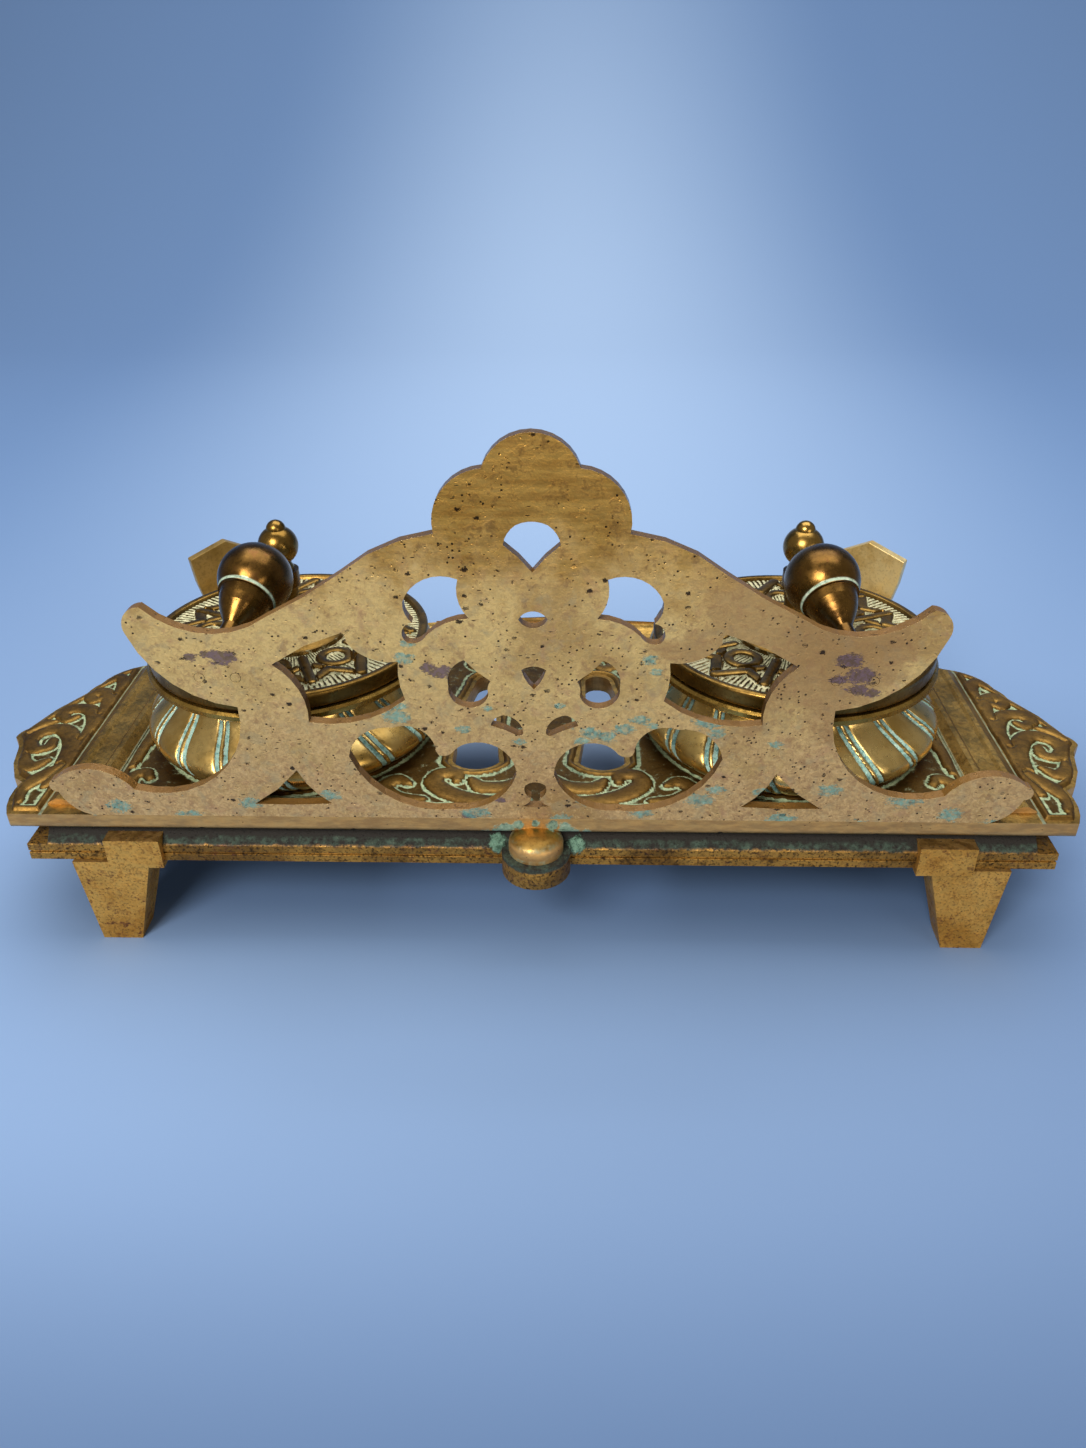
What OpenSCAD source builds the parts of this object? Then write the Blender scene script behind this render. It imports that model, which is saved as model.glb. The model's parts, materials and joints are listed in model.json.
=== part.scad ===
// Desk inkstand: a cast brass tray on a footed base, a pierced gallery at the back,
// two swirled ink pots with glass liners, and two hinged lids. The front faces -Y.

/* [Stand] */
// Height of the feet under the base
foot_h = 25; // [18:0.5:36]
// Thickness of the base at its edge
base_edge_t = 4.6; // [3:0.1:5.5]
// Rise of the base moulding from its edge to the tray
base_rise = 4.8; // [4:0.1:8]
// Width of the base's sloping moulding
base_slope_w = 5; // [3:0.5:7]
// Half the length of the base
base_half = 124; // [118:0.5:130]
// Width of the base's front and back rails
base_rail_w = 13.5; // [12:0.5:16]
// Thickness of the tray
tray_t = 4.6; // [3.5:0.1:7]
// Full length of the tray over its end lobes
tray_w = 278; // [262:1:300]
// Depth of the tray from its back edge to its front
tray_d = 108; // [104:1:120]
// Depth of the pen trough
trough_depth = 2.2; // [1:0.1:3]
// Height of the cast scrolls on the tray
scroll_h = 0.7; // [0.4:0.1:1]

/* [Feet] */
// Width of a foot at its top
foot_top_w = 19; // [16:0.5:24]
// Width of a foot at its toe
foot_toe_w = 10; // [7:0.5:14]
// Depth of a foot at its top
foot_top_d = 12; // [10:0.5:13]
// Depth of a foot at its toe
foot_toe_d = 8; // [6:0.5:10]
// Width of the clip that holds a foot to the base's edge
clip_w = 13.5; // [10:0.5:18]

/* [Gallery] */
// Length of the gallery plate
gallery_w = 227; // [215:1:236]
// Height of the gallery plate
gallery_h = 91.6; // [88:0.1:100]
// Thickness of the gallery plate
gallery_t = 2.6; // [2.4:0.1:4]

/* [Pots] */
// Distance of each pot from the middle of the stand
pot_x = 64.3; // [62:0.1:68]
// Gap between the gallery and the widest part of a pot
pot_gap = 2; // [0.6:0.1:3]
// Largest radius of a pot
pot_r = 38.8; // [36:0.1:40]
// Height of the swirled body
pot_body_h = 18; // [15:0.5:24]
// Number of swirled lobes round a pot
pot_lobes = 18; // [12:1:24]
// Depth of the grooves between the lobes
lobe_depth = 1.5; // [0.5:0.1:2]
// Angle that each lobe turns through from foot to neck
lobe_turn = 15; // [0:1:40]
// Radius of the hollow in a pot
pot_bore_r = 26; // [24:0.1:27]
// Height of the plain collar above the body
collar_h = 5.3; // [4:0.1:8]
// Radius of the collar's flange
flange_r = 36.2; // [34:0.1:38]
// Thickness of the collar's flange
flange_t = 2.2; // [2:0.1:3]
// Wall of the glass liner
liner_wall = 2.4; // [1.5:0.1:3]

/* [Lids] */
// Radius of a lid
lid_r = 35.3; // [33:0.1:36]
// Thickness of a lid at its rim
lid_t = 4.2; // [3:0.1:6]
// Width of the raised rim
lid_rim_w = 2; // [1:0.1:3]
// Radius of the plain boss in the middle
boss_r = 14; // [11:0.1:17]
// Height of the boss above the lid's rim
boss_h = 2.7; // [1:0.1:4]
// Height of the pillar above the boss
pillar_h = 9.8; // [8:0.1:14]
// Height of the strapwork in a lid's sunk band
strap_h = 0.8; // [0.4:0.1:1]
// Gap between a closed lid and its pot
lid_gap = 0.3; // [0.2:0.05:0.5]
// Radius of the finial's ball
finial_r = 4.9; // [4:0.1:6]

/* [Hinges] */
// Distance of each hinge from the middle of the stand
hinge_x = 69.3; // [67:0.1:72]
// Distance of the hinge's axis from the gallery's face
hinge_reach = 5.8; // [5:0.1:6.6]
// Depth of the hinge's axis below the dip in the gallery's top
hinge_drop = 6; // [5:0.1:9]
// Radius of the hinge pin
pin_r = 1.2; // [1:0.1:1.5]
// Running clearance round the hinge pin
pin_clear = 0.06; // [0.02:0.01:0.1]
// Radius of the ball on a lid's arm
arm_ball_r = 8.6; // [7:0.1:9]

/* [Pen rests] */
// Distance of each pen rest from the middle of the stand
rest_x = 95; // [93.5:0.5:98]
// Height of a pen rest above the tray
rest_h = 32.5; // [24:0.5:44]
// Width of a pen rest at its shoulders
rest_w = 20; // [16:0.5:22]
// Angle that a pen rest is turned inwards by
rest_turn = 35; // [20:1:50]

/* [Hidden] */
$fn = 64;

// Sides: the stand's left hand is -X, seen from the front.
left = -1;
right = 1;

// Levels above the desk
base_edge_z = foot_h + base_edge_t;
tray_z = base_edge_z + base_rise;
deck_z = tray_z + tray_t;
collar_z = deck_z + pot_body_h;
flange_z = collar_z + collar_h;
lid_z = flange_z + lid_gap;
lid_top_z = lid_z + lid_t;
boss_top_z = lid_top_z + boss_h;
pillar_top_z = boss_top_z + pillar_h;

// Fits
hole_clear = 0.1;
slip = 0.05;
cut = 1;

// Depths are measured from the tray's back edge towards the front.
lug_r = 8.2;
lug_depth = -1;
back_y = (tray_d + lug_depth - lug_r) / 2;
function y_at(depth) = back_y - depth;

// Draws a plan of lengths and depths, seen from above.
module plan() {
    translate([0, back_y]) mirror([0, 1]) children();
}

// Draws children at their place and again on the other side.
module both_sides() {
    for (side = [left, right]) scale_side(side) children();
}
module scale_side(side) {
    if (side == left) mirror([1, 0, 0]) children();
    else children();
}

// Points of the arc from a to b that stands out by rise on its left-hand side
arc_step = 12;
function arc(a, b, rise) =
    rise == 0 ? [a] :
    let (
        run = norm(b - a),
        along = (b - a) / run,
        out = [-along.y, along.x],
        r = (run * run / 4 + rise * rise) / (2 * rise),
        half = 2 * atan(2 * rise / run),
        centre = (a + b) / 2 + out * (rise - r),
        n = max(2, ceil(abs(2 * half) / arc_step))
    )
    [for (i = [0:n - 1]) let (t = half * (2 * i / n - 1)) centre + r * (sin(t) * along + cos(t) * out)];

// A closed outline from corners [x, y, rise], where rise belongs to the side that follows
function bowed(corners) = [
    for (i = [0:len(corners) - 1])
        let (a = corners[i], b = corners[(i + 1) % len(corners)])
        each arc([a.x, a.y], [b.x, b.y], a.z)
];

// The corners of a half, and the same corners mirrored back to the start
function doubled(half, last_rise) = concat(
    half,
    [for (i = [len(half) - 1:-1:0]) [-half[i].x, half[i].y, i > 0 ? half[i - 1].z : last_rise]]
);
function stretched(corners, sx, sy) = [for (c = corners) [c.x * sx, c.y * sy, c.z * sqrt(sx * sy)]];

// ---- Base and feet ----
base_back = 0.5;
base_front = tray_d - 10;
base_side_d = tray_d - 40;
base_shoulder_d = tray_d - 28;
base_front_half = base_half - 16;
base_well_half = base_half - 28;
edge_groove = 0.6;
module base_outline(inset) {
    polygon([
        for (c = doubled([
            [base_front_half - inset, base_front - inset, 0],
            [base_front_half - inset, base_shoulder_d - inset / 2, 0],
            [base_half - inset, base_side_d - inset / 2, 0],
            [base_half - inset, base_back + inset, 0]
        ], 0)) [c.x, c.y]
    ]);
}
// The base's section at its back edge, from depth 0, as a prism along X
module base_edge(half) {
    translate([-half, back_y, 0])
        rotate([90, 0, 90])
            linear_extrude(2 * half)
                mirror([1, 0])
                    polygon([
                        [base_back, foot_h],
                        [base_back, base_edge_z],
                        [base_back + base_slope_w, tray_z],
                        [base_back + 2 * base_slope_w, tray_z],
                        [base_back + 2 * base_slope_w, foot_h]
                    ]);
}
// Turns what stands at the base's back edge round to its front edge
module at_front() {
    translate([0, 2 * back_y - base_back - base_front, 0]) mirror([0, 1, 0]) children();
}
module lug(r, z, h) {
    translate([0, y_at(lug_depth), z]) cylinder(r = r, h = h);
}
lug_split_z = base_edge_z + 1.4;
tray_screw_x = base_half - 12;
tray_screw_depths = [22, base_side_d - 8];
tray_screw_r = 1.5;
tray_screw_head_r = 2.8;
tray_screw_head_t = 1.6;
foot_screw_r = 1.6;
foot_screw_head_r = 2.5;
foot_screw_head_t = 1.8;
foot_x = base_half - 20;
front_foot_in = 9;
foot_screw_depth = base_back + base_slope_w + foot_screw_head_r;
module each_foot_screw() {
    both_sides() translate([foot_x, y_at(foot_screw_depth), 0]) children();
    at_front() both_sides() translate([foot_x - front_foot_in, y_at(foot_screw_depth), 0]) children();
}
module each_tray_screw() {
    both_sides() for (d = tray_screw_depths) translate([tray_screw_x, y_at(d), foot_h]) children();
}
lug_rivet_r = 1.8;
module base_plate() {
    color("#8C6A2C") difference() {
        union() {
            difference() {
                union() {
                    translate([0, 0, foot_h]) plan() linear_extrude(base_edge_t) base_outline(0);
                    translate([0, 0, foot_h]) plan()
                        linear_extrude(base_edge_t + base_rise) base_outline(base_slope_w);
                    base_edge(base_half - base_slope_w);
                    at_front() base_edge(base_front_half - base_slope_w);
                }
                translate([0, 0, foot_h + base_edge_t * 0.45]) plan() linear_extrude(edge_groove)
                    difference() {
                        base_outline(-cut);
                        base_outline(edge_groove);
                    }
            }
            lug(lug_r, foot_h, lug_split_z - foot_h);
        }
        translate([0, 0, foot_h - cut]) plan()
            linear_extrude(tray_z) translate([-base_well_half, base_rail_w])
                square([2 * base_well_half, base_front - base_rail_w + base_back - base_rail_w]);
        each_foot_screw() {
            cylinder(r = foot_screw_r + hole_clear, h = tray_z + cut);
            translate([0, 0, tray_z - foot_screw_head_t])
                cylinder(r = foot_screw_head_r + hole_clear, h = foot_screw_head_t + cut);
        }
        each_tray_screw() {
            translate([0, 0, -cut]) cylinder(r = tray_screw_r + hole_clear, h = tray_z);
            translate([0, 0, -cut])
                cylinder(r = tray_screw_head_r + hole_clear, h = tray_screw_head_t + cut);
        }
        lug(lug_rivet_r + slip, foot_h - cut, tray_z);
    }
}

clip_overhang = 1.2;
clip_reach = 4.2;
clip_rise = 2.4;
clip_in = 6.5;
clip_root = 1;
leg_back = -0.5;
toe_shift = 2.2;
foot_screw_grip = 9;
module foot(x) {
    color("#9A7636") difference() {
        union() {
            intersection() {
                translate([x, back_y + foot_top_d, 0]) rotate([90, 0, 0]) linear_extrude(3 * foot_top_d)
                    polygon([
                        [toe_shift - foot_toe_w / 2, 0],
                        [toe_shift + foot_toe_w / 2, 0],
                        [foot_top_w / 2, foot_h],
                        [-foot_top_w / 2, foot_h]
                    ]);
                translate([x - foot_top_w, back_y, 0]) rotate([90, 0, 90]) linear_extrude(2 * foot_top_w)
                    mirror([1, 0]) polygon([
                        [leg_back + 0.5, 0],
                        [leg_back + 0.5 + foot_toe_d, 0],
                        [leg_back + foot_top_d, foot_h],
                        [leg_back, foot_h]
                    ]);
            }
            translate([x - clip_in - clip_w / 2, y_at(clip_reach), foot_h - clip_root])
                cube([clip_w, clip_reach + clip_overhang, clip_root + base_edge_t + clip_rise]);
        }
        base_edge(base_half);
        translate([x, y_at(foot_screw_depth), foot_h - foot_screw_grip])
            cylinder(r = foot_screw_r + slip, h = foot_screw_grip + cut);
    }
}
module foot_back_left() { scale_side(left) foot(foot_x); }
module foot_back_right() { foot(foot_x); }
module foot_front_left() { at_front() scale_side(left) foot(foot_x - front_foot_in); }
module foot_front_right() { at_front() foot(foot_x - front_foot_in); }

// A cheese-headed screw that points up from z = 0, its head at the bottom
module screw_up(r, head_r, head_t, length) {
    cylinder(r = head_r, h = head_t);
    cylinder(r = r, h = length);
}
module foot_screws() {
    length = tray_z - foot_h + foot_screw_grip - 1;
    color("#7A5A24") each_foot_screw()
        translate([0, 0, tray_z - slip]) mirror([0, 0, 1])
            screw_up(foot_screw_r, foot_screw_head_r, foot_screw_head_t - 2 * slip, length);
}
tray_screw_grip = 3.2;
module tray_screws() {
    color("#7A5A24") each_tray_screw() translate([0, 0, slip])
        screw_up(tray_screw_r, tray_screw_head_r, tray_screw_head_t - 2 * slip,
                 tray_z - foot_h + tray_screw_grip - 0.3);
}
lug_rivet_head_r = 3.4;
lug_rivet_head_t = 1.2;
lug_rivet_grip = lug_split_z - foot_h + 2.4;
module lug_rivet() {
    color("#7A5A24") translate([0, y_at(lug_depth), foot_h - lug_rivet_head_t])
        screw_up(lug_rivet_r, lug_rivet_head_r, lug_rivet_head_t, lug_rivet_head_t + lug_rivet_grip - 0.2);
}

// ---- Tray ----
// Corners of half the tray, from the front round to the back, drawn 278 long and 108 deep
tray_half = [
    [40, 104, -1.5], [86, 105, 6], [112, 90, 1.5], [113.5, 76, 0], [116, 74.5, 2.4], [126.9, 63, 0.4],
    [128.9, 57.6, 0.9], [137.4, 38.4, 0.5], [139, 34, -0.4], [135.9, 28.4, 0.7], [131.1, 15.3, 0],
    [128.4, 13.4, 1.2], [126.2, 0, 0]
];
tray_sx = tray_w / 278;
tray_sy = tray_d / 108;
front_bow = 4;
// The back edge's underside is rounded
tray_round = 2;
// One of the pierced openings between the pots
tray_opening = [[10, 24, -3.4], [22, 24, 1], [24, 46, 0.6], [19, 66, -2.8], [12, 66, 1.2]];
band_in = 105;
band_start = 4;
band_end = tray_d - 37;
band_w = 13;
band_h = 1.8;
module band() {
    translate([band_in, y_at(band_end), deck_z]) rotate([90, 0, 0]) mirror([0, 0, 1])
        linear_extrude(band_end - band_start) polygon([
            [0, -0.2], [0, band_h * 0.2], [1.8, band_h * 0.8], [2.4, band_h], [3.6, band_h], [4.4, band_h * 0.7],
            [band_w - 4.4, band_h * 0.7], [band_w - 3.6, band_h], [band_w - 2.4, band_h], [band_w - 1.8, band_h * 0.8],
            [band_w, band_h * 0.2], [band_w, -0.2]
        ]);
}
trough_r = 26;
trough_half = 78;
trough_half_w = 9.5;
trough_depth_at = tray_d - 13;
// A shallow round-bottomed channel with half-round ends
module trough() {
    intersection() {
        translate([0, y_at(trough_depth_at), deck_z - trough_depth + trough_r])
            rotate([0, 90, 0]) cylinder(r = trough_r, h = 3 * trough_half, center = true, $fn = 96);
        translate([0, 0, deck_z - 2 * trough_depth]) plan()
            linear_extrude(3 * trough_depth) translate([0, trough_depth_at]) polygon(bowed([
                [-trough_half, -trough_half_w, trough_half_w * 0.8],
                [-trough_half, trough_half_w, 0],
                [trough_half, trough_half_w, trough_half_w * 0.8],
                [trough_half, -trough_half_w, 0]
            ]));
    }
}
// Cast scrolls: points [x, depth, half the width] along each, on both halves of the tray
scrolls = [
    [[121.6, 11, 0.6], [120.9, 21, 1.2], [122.6, 31, 1.3], [127.4, 37.4, 1.3], [132.6, 36, 1.2], [133.9, 31.4, 1.1],
     [131.2, 27.6, 1], [128, 28.6, 0.9], [128, 31.8, 0.7]],
    [[121.4, 20, 0.6], [124.6, 14.6, 1.2], [127, 9.4, 1.1], [125, 4.6, 0.5]],
    [[125.4, 22.6, 0.5], [128.4, 19.6, 1.1], [131.4, 21.6, 1], [132, 24.6, 0.5]],
    [[121, 33, 0.5], [120.6, 41, 1.1], [123.8, 47.4, 1.2], [128.8, 48.2, 1.2], [130.8, 45, 1], [128.4, 42.4, 0.9],
     [126.4, 44, 0.6]],
    [[120.8, 46, 0.5], [121, 53, 1.1], [124, 57.6, 1.1], [126.8, 55.2, 1], [125.2, 52.2, 0.8], [123.6, 53.4, 0.6]],
    [[120.2, 57, 0.5], [120.6, 63.6, 1], [123.2, 66, 0.9], [124.6, 62.6, 0.5]],
    [[131.2, 41.2, 0.5], [134.4, 39.6, 0.9], [136.2, 36, 0.5]],
    [[3, 7.4, 0.6], [12, 6.6, 1.1], [20, 8.8, 1.3], [25.4, 13.6, 1.3], [24.4, 18, 1.1], [20.4, 17.8, 1], [20, 14.8, 0.6]],
    [[3, 17.6, 0.6], [7, 13, 1.1], [13.4, 12.2, 1.2], [16.4, 15.4, 0.6]],
    [[27.6, 7, 0.6], [34, 7.6, 1.2], [37.6, 11.4, 1.2], [35, 15.4, 1], [31.8, 13.6, 0.6]],
    [[42, 6.6, 0.6], [50, 5.6, 1], [58, 5.6, 0.6]],
    [[80, 6, 0.6], [91, 6.2, 1.1], [99, 8.6, 1.2], [101.6, 14, 1.1], [98.8, 17.6, 0.9], [96.6, 15, 0.6]],
    [[102.6, 20, 0.5], [103, 30, 1], [100.9, 36, 0.5]],
    [[102.8, 52, 0.5], [103, 62, 1], [99.6, 70, 1.2], [94, 73.4, 1.1], [91, 76.6, 0.6]],
    [[2.6, 82.6, 0.6], [10, 82.8, 1.1], [17.4, 80.4, 1.2], [20.6, 75.6, 1.1], [17.6, 72.6, 0.9], [15, 74.8, 0.6]],
    [[24, 82.8, 0.6], [31, 80.6, 1.1], [34, 76.4, 1], [31, 73.4, 0.6]],
    [[40, 83.2, 0.6], [52, 83.6, 1], [66, 83.8, 0.6]]
];
// A flat ribbon along a list of such points
function side_of(p, i, way) =
    let (a = p[max(i - 1, 0)], b = p[min(i + 1, len(p) - 1)], d = [b.x - a.x, b.y - a.y], n = norm(d))
    [p[i].x - way * p[i].z * d.y / n, p[i].y + way * p[i].z * d.x / n];
function ribbon(p) = concat(
    [for (i = [0:len(p) - 1]) side_of(p, i, 1)], [for (i = [len(p) - 1:-1:0]) side_of(p, i, -1)]
);
module cast_scrolls() {
    translate([0, 0, deck_z - 0.2]) plan() linear_extrude(0.2 + scroll_h) for (line = scrolls) {
        polygon(ribbon(stretched(line, tray_sx, tray_sy)));
        mirror([1, 0]) polygon(ribbon(stretched(line, tray_sx, tray_sy)));
    }
}
lug_top_r = 6.5;
// Where the base's slope reaches the lug's top
lug_slope_in = (lug_split_z - base_edge_z) * base_slope_w / base_rise - slip;
lug_dome_z = tray_z - 1.2;
lug_dome_h = 3.2;
pot_depth = gallery_t + pot_gap + pot_r;
pot_bolt_r = 2;
module each_pot() {
    for (side = [left, right]) translate([side * pot_x, y_at(pot_depth), 0]) children();
}
gallery_screw_xs = [43.5, 80];
gallery_screw_r = 0.8;
gallery_screw_head_r = 1;
gallery_screw_head_t = 1.1;
// The heads sit this far up in the tray's underside
gallery_screw_sunk = 1.2;
gallery_screw_grip = 3;
module each_gallery_screw() {
    both_sides() for (x = gallery_screw_xs)
        translate([x * gallery_w / 227, y_at(gallery_t / 2), tray_z]) children();
}
rest_depth = tray_d - 17;
rest_base_w = 17;
rest_base_d = 9;
rest_base_t = 1.8;
rest_rivet_r = 1.1;
rest_rivet_out = 6.4;
rest_rivet_head = 0.8;
module each_pen_rest() {
    both_sides() translate([rest_x, y_at(rest_depth), deck_z]) rotate([0, 0, rest_turn]) children();
}
module each_rest_rivet() {
    each_pen_rest() for (u = [-1, 1]) translate([u * rest_rivet_out, 0, 0]) children();
}
module tray() {
    color("#A07C34") difference() {
        union() {
            difference() {
                translate([0, 0, tray_z]) plan() linear_extrude(tray_t)
                    polygon(bowed(stretched(doubled(tray_half, front_bow), tray_sx, tray_sy)));
                translate([0, back_y, tray_z]) rotate([90, 0, 90]) linear_extrude(tray_w, center = true)
                    difference() {
                        translate([-tray_round, -cut]) square([tray_round + cut, tray_round + cut]);
                        translate([-tray_round, tray_round]) circle(r = tray_round);
                    }
            }
            both_sides() band();
            cast_scrolls();
            intersection() {
                translate([0, y_at(lug_depth), 0]) rotate_extrude() polygon(concat(
                    [[0, lug_split_z], [0, lug_dome_z + lug_dome_h]],
                    [for (t = [15:15:90]) [lug_top_r * sin(t), lug_dome_z + lug_dome_h * cos(t)]],
                    [[lug_top_r, lug_split_z]]
                ));
                translate([-lug_r, y_at(base_back + lug_slope_in), 0]) cube([2 * lug_r, 2 * lug_r, deck_z]);
            }
        }
        trough();
        translate([0, 0, tray_z - cut]) plan() linear_extrude(tray_t + 2 * cut) {
            polygon(bowed(tray_opening));
            mirror([1, 0]) polygon(bowed(tray_opening));
        }
        each_pot() translate([0, 0, tray_z - cut]) cylinder(r = pot_bolt_r + hole_clear, h = tray_t + 2 * cut);
        each_tray_screw() cylinder(r = tray_screw_r + slip, h = tray_z - foot_h + tray_screw_grip);
        each_gallery_screw() {
            translate([0, 0, -cut]) cylinder(r = gallery_screw_r + hole_clear, h = tray_t + 2 * cut);
            translate([0, 0, -cut]) cylinder(r = gallery_screw_head_r + hole_clear,
                                             h = gallery_screw_sunk + gallery_screw_head_t + cut);
        }
        each_rest_rivet() translate([0, 0, -tray_t - cut]) {
            cylinder(r = rest_rivet_r + hole_clear, h = tray_t + 2 * cut);
            cylinder(r = rest_rivet_r + rest_rivet_head + hole_clear, h = rest_rivet_head + cut);
        }
        lug(lug_rivet_r + slip, foot_h, lug_rivet_grip);
    }
}

// ---- Gallery ----
// Corners of half the gallery, from its top lobe to its foot, drawn 227 long and 91.6 high
gallery_half = [
    [9.8, 84.5, 3.8], [19.9, 71, 1.6], [40, 62.1, -0.4], [57, 52, -5], [83.4, 54.4, 2],
    [87.5, 48, 4.2], [66, 30, -9.6], [93.8, 7.4, 4.3], [112.2, 10, 1.7], [112, 6.6, 1.2], [105.5, 0, 0]
];
top_bow = 7.1;
dip_h = 48.5;
// Holes on the middle line
fan_hole = [[5.9, 68.6, -0.5], [3.3, 72.8, -0.8], [-3.3, 72.8, -0.5], [-5.9, 68.6, 0.3], [0, 62.6, 0.3]];
eye_hole = [[3.1, 51.9, -1.9], [-3.1, 51.9, -2]];
small_fan_hole = [[2.7, 39.8, -0.9], [-2.7, 39.8, -0.4], [0, 35, -0.4]];
key_hole = [[2.3, 9.5, -0.9], [-2.3, 9.5, -0.8], [-1, 5.9, 0.5], [-3.4, 3.6, -0.3], [3.4, 3.6, 0.5], [1, 5.9, -0.8]];
// Holes that both halves have
trefoil_hole = [
    [27.3, 55.8, -2.8], [15.5, 61, 1.2], [13.5, 52.1, 1], [22.8, 48, -0.7], [26.7, 46.2, -1.8], [25.6, 51, -0.6]
];
drop_hole = [[15, 42.2, 1.4], [18.7, 35.7, 1.3], [15.2, 30.4, 1.3], [10, 33.6, -0.4], [9.4, 37, -0.3]];
petal_hole = [[9.8, 25.7, -0.6], [6.9, 28.4, -1.2], [2.5, 23.8, -0.4], [4, 23.2, 0.2]];
lobed_hole = [
    [42.4, 17.1, -2.7], [31.9, 24.9, -2.6], [22.5, 19.7, 0.3], [21.6, 17.6, 0.4], [18.8, 18.3, -0.4],
    [15.1, 20.9, -3.4], [4.3, 12.5, -3.3], [19.2, 2.6, -5.1]
];
wing_hole = [
    [56.9, 40.8, -0.8], [40.9, 48.6, -0.4], [40.2, 46.5, 1.8], [29.3, 41.7, 0.6], [28.4, 32.2, -2.6],
    [50.5, 26.2, 2.2]
];
corner_hole = [[66, 3.6, 0.7], [54.9, 13.2, 0.9], [47.6, 3.9, -0.3]];
middle_holes = [fan_hole, eye_hole, small_fan_hole, key_hole];
paired_holes = [trefoil_hole, drop_hole, petal_hole, lobed_hole, wing_hole, corner_hole];
gallery_sx = gallery_w / 227;
gallery_sy = gallery_h / 91.6;
module gallery_shape(corners) {
    polygon(bowed(stretched(corners, gallery_sx, gallery_sy)));
}
hinge_z = deck_z + dip_h * gallery_sy - hinge_drop;
hinge_depth = gallery_t + hinge_reach;
bracket_rivet_r = 1.1;
bracket_rivet_out = 4;
bracket_rivet_drop = 5;
module each_bracket_rivet() {
    both_sides() for (u = [-1, 1])
        translate([hinge_x + u * bracket_rivet_out, back_y, hinge_z - bracket_rivet_drop])
            rotate([90, 0, 0]) children();
}
module gallery() {
    color("#B0905A") difference() {
        translate([0, back_y, deck_z]) rotate([90, 0, 0]) linear_extrude(gallery_t) difference() {
            gallery_shape(doubled(gallery_half, top_bow));
            for (hole = middle_holes) gallery_shape(hole);
            for (hole = paired_holes) {
                gallery_shape(hole);
                mirror([1, 0]) gallery_shape(hole);
            }
        }
        each_gallery_screw() cylinder(r = gallery_screw_r + slip, h = tray_t + gallery_screw_grip);
        each_bracket_rivet() translate([0, 0, -cut])
            cylinder(r = bracket_rivet_r + hole_clear, h = gallery_t + 2 * cut);
    }
}
module gallery_screws() {
    color("#7A5A24") each_gallery_screw() translate([0, 0, gallery_screw_sunk + slip])
        screw_up(gallery_screw_r, gallery_screw_head_r, gallery_screw_head_t - 2 * slip,
                 tray_t + gallery_screw_grip - gallery_screw_sunk - 0.3);
}

// ---- Pots ----
pot_foot_r = pot_r - 5.5;
neck_r = pot_bore_r + 2.8;
pot_floor_t = 2.5;
// Radius of the smooth body at a share t of its height: out to the belly, then in to the neck
belly_at = 0.34;
function body_r(t) = t < belly_at
    ? pot_foot_r + (pot_r - pot_foot_r) * sin(90 * t / belly_at)
    : neck_r + (pot_r - neck_r) * (0.5 + 0.5 * cos(180 * (t - belly_at) / (1 - belly_at)));
// The swirl: each lobe is a round ridge, and the groove beside it fades out at foot and neck
function lobed_r(t, a) =
    body_r(t) - lobe_depth * pow(sin(180 * t), 0.6) * pow(1 - abs(sin(pot_lobes * (a + lobe_turn * t) / 2)), 1.6);
body_rings = 11;
lobe_sides = 6;
module swirled_body() {
    sides = pot_lobes * lobe_sides;
    points = [
        for (i = [0:body_rings], j = [0:sides - 1])
            let (t = i / body_rings, a = 360 * j / sides, r = lobed_r(t, a))
            [r * cos(a), r * sin(a), pot_body_h * t]
    ];
    walls = [
        for (i = [0:body_rings - 1], j = [0:sides - 1])
            let (k = (j + 1) % sides, a = i * sides)
            each [[a + j, a + sides + j, a + sides + k], [a + j, a + sides + k, a + k]]
    ];
    foot_face = [for (j = [0:sides - 1]) j];
    neck_face = [for (j = [sides - 1:-1:0]) body_rings * sides + j];
    polyhedron(points, concat(walls, [foot_face, neck_face]), convexity = 4);
}
module pot(side) {
    color("#B58E38") translate([side * pot_x, y_at(pot_depth), deck_z]) difference() {
        swirled_body();
        translate([0, 0, pot_floor_t]) cylinder(r = pot_bore_r, h = pot_body_h, $fn = 72);
        translate([0, 0, -cut]) cylinder(r = pot_bolt_r + hole_clear, h = pot_floor_t + 2 * cut, $fn = 24);
    }
}
module pot_left() { pot(left); }
module pot_right() { pot(right); }

collar_spigot_h = 6;
collar_spigot_t = 1.1;
lip_seat_r = pot_bore_r + 2;
lip_seat_h = 1.6;
collar_neck_h = collar_h - flange_t;
module pot_collar(side) {
    bore = pot_bore_r - collar_spigot_t;
    color("#B58E38") translate([side * pot_x, y_at(pot_depth), collar_z]) rotate_extrude()
        difference() {
            union() {
                translate([bore, -collar_spigot_h])
                    square([pot_bore_r - slip - bore, collar_spigot_h + collar_h]);
                translate([bore, 0]) square([neck_r - bore, collar_h]);
                polygon([
                    [bore, 0], [neck_r, 0], [neck_r, collar_neck_h / 3],
                    [(neck_r + flange_r) / 2, collar_neck_h * 0.7], [flange_r - 0.5, collar_neck_h],
                    [flange_r, collar_neck_h + 0.5], [flange_r, collar_h - 0.6],
                    [flange_r - 0.6, collar_h], [bore, collar_h]
                ]);
            }
            translate([0, collar_h - lip_seat_h]) square([lip_seat_r, lip_seat_h + cut]);
        }
}
module pot_collar_left() { pot_collar(left); }
module pot_collar_right() { pot_collar(right); }

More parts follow.
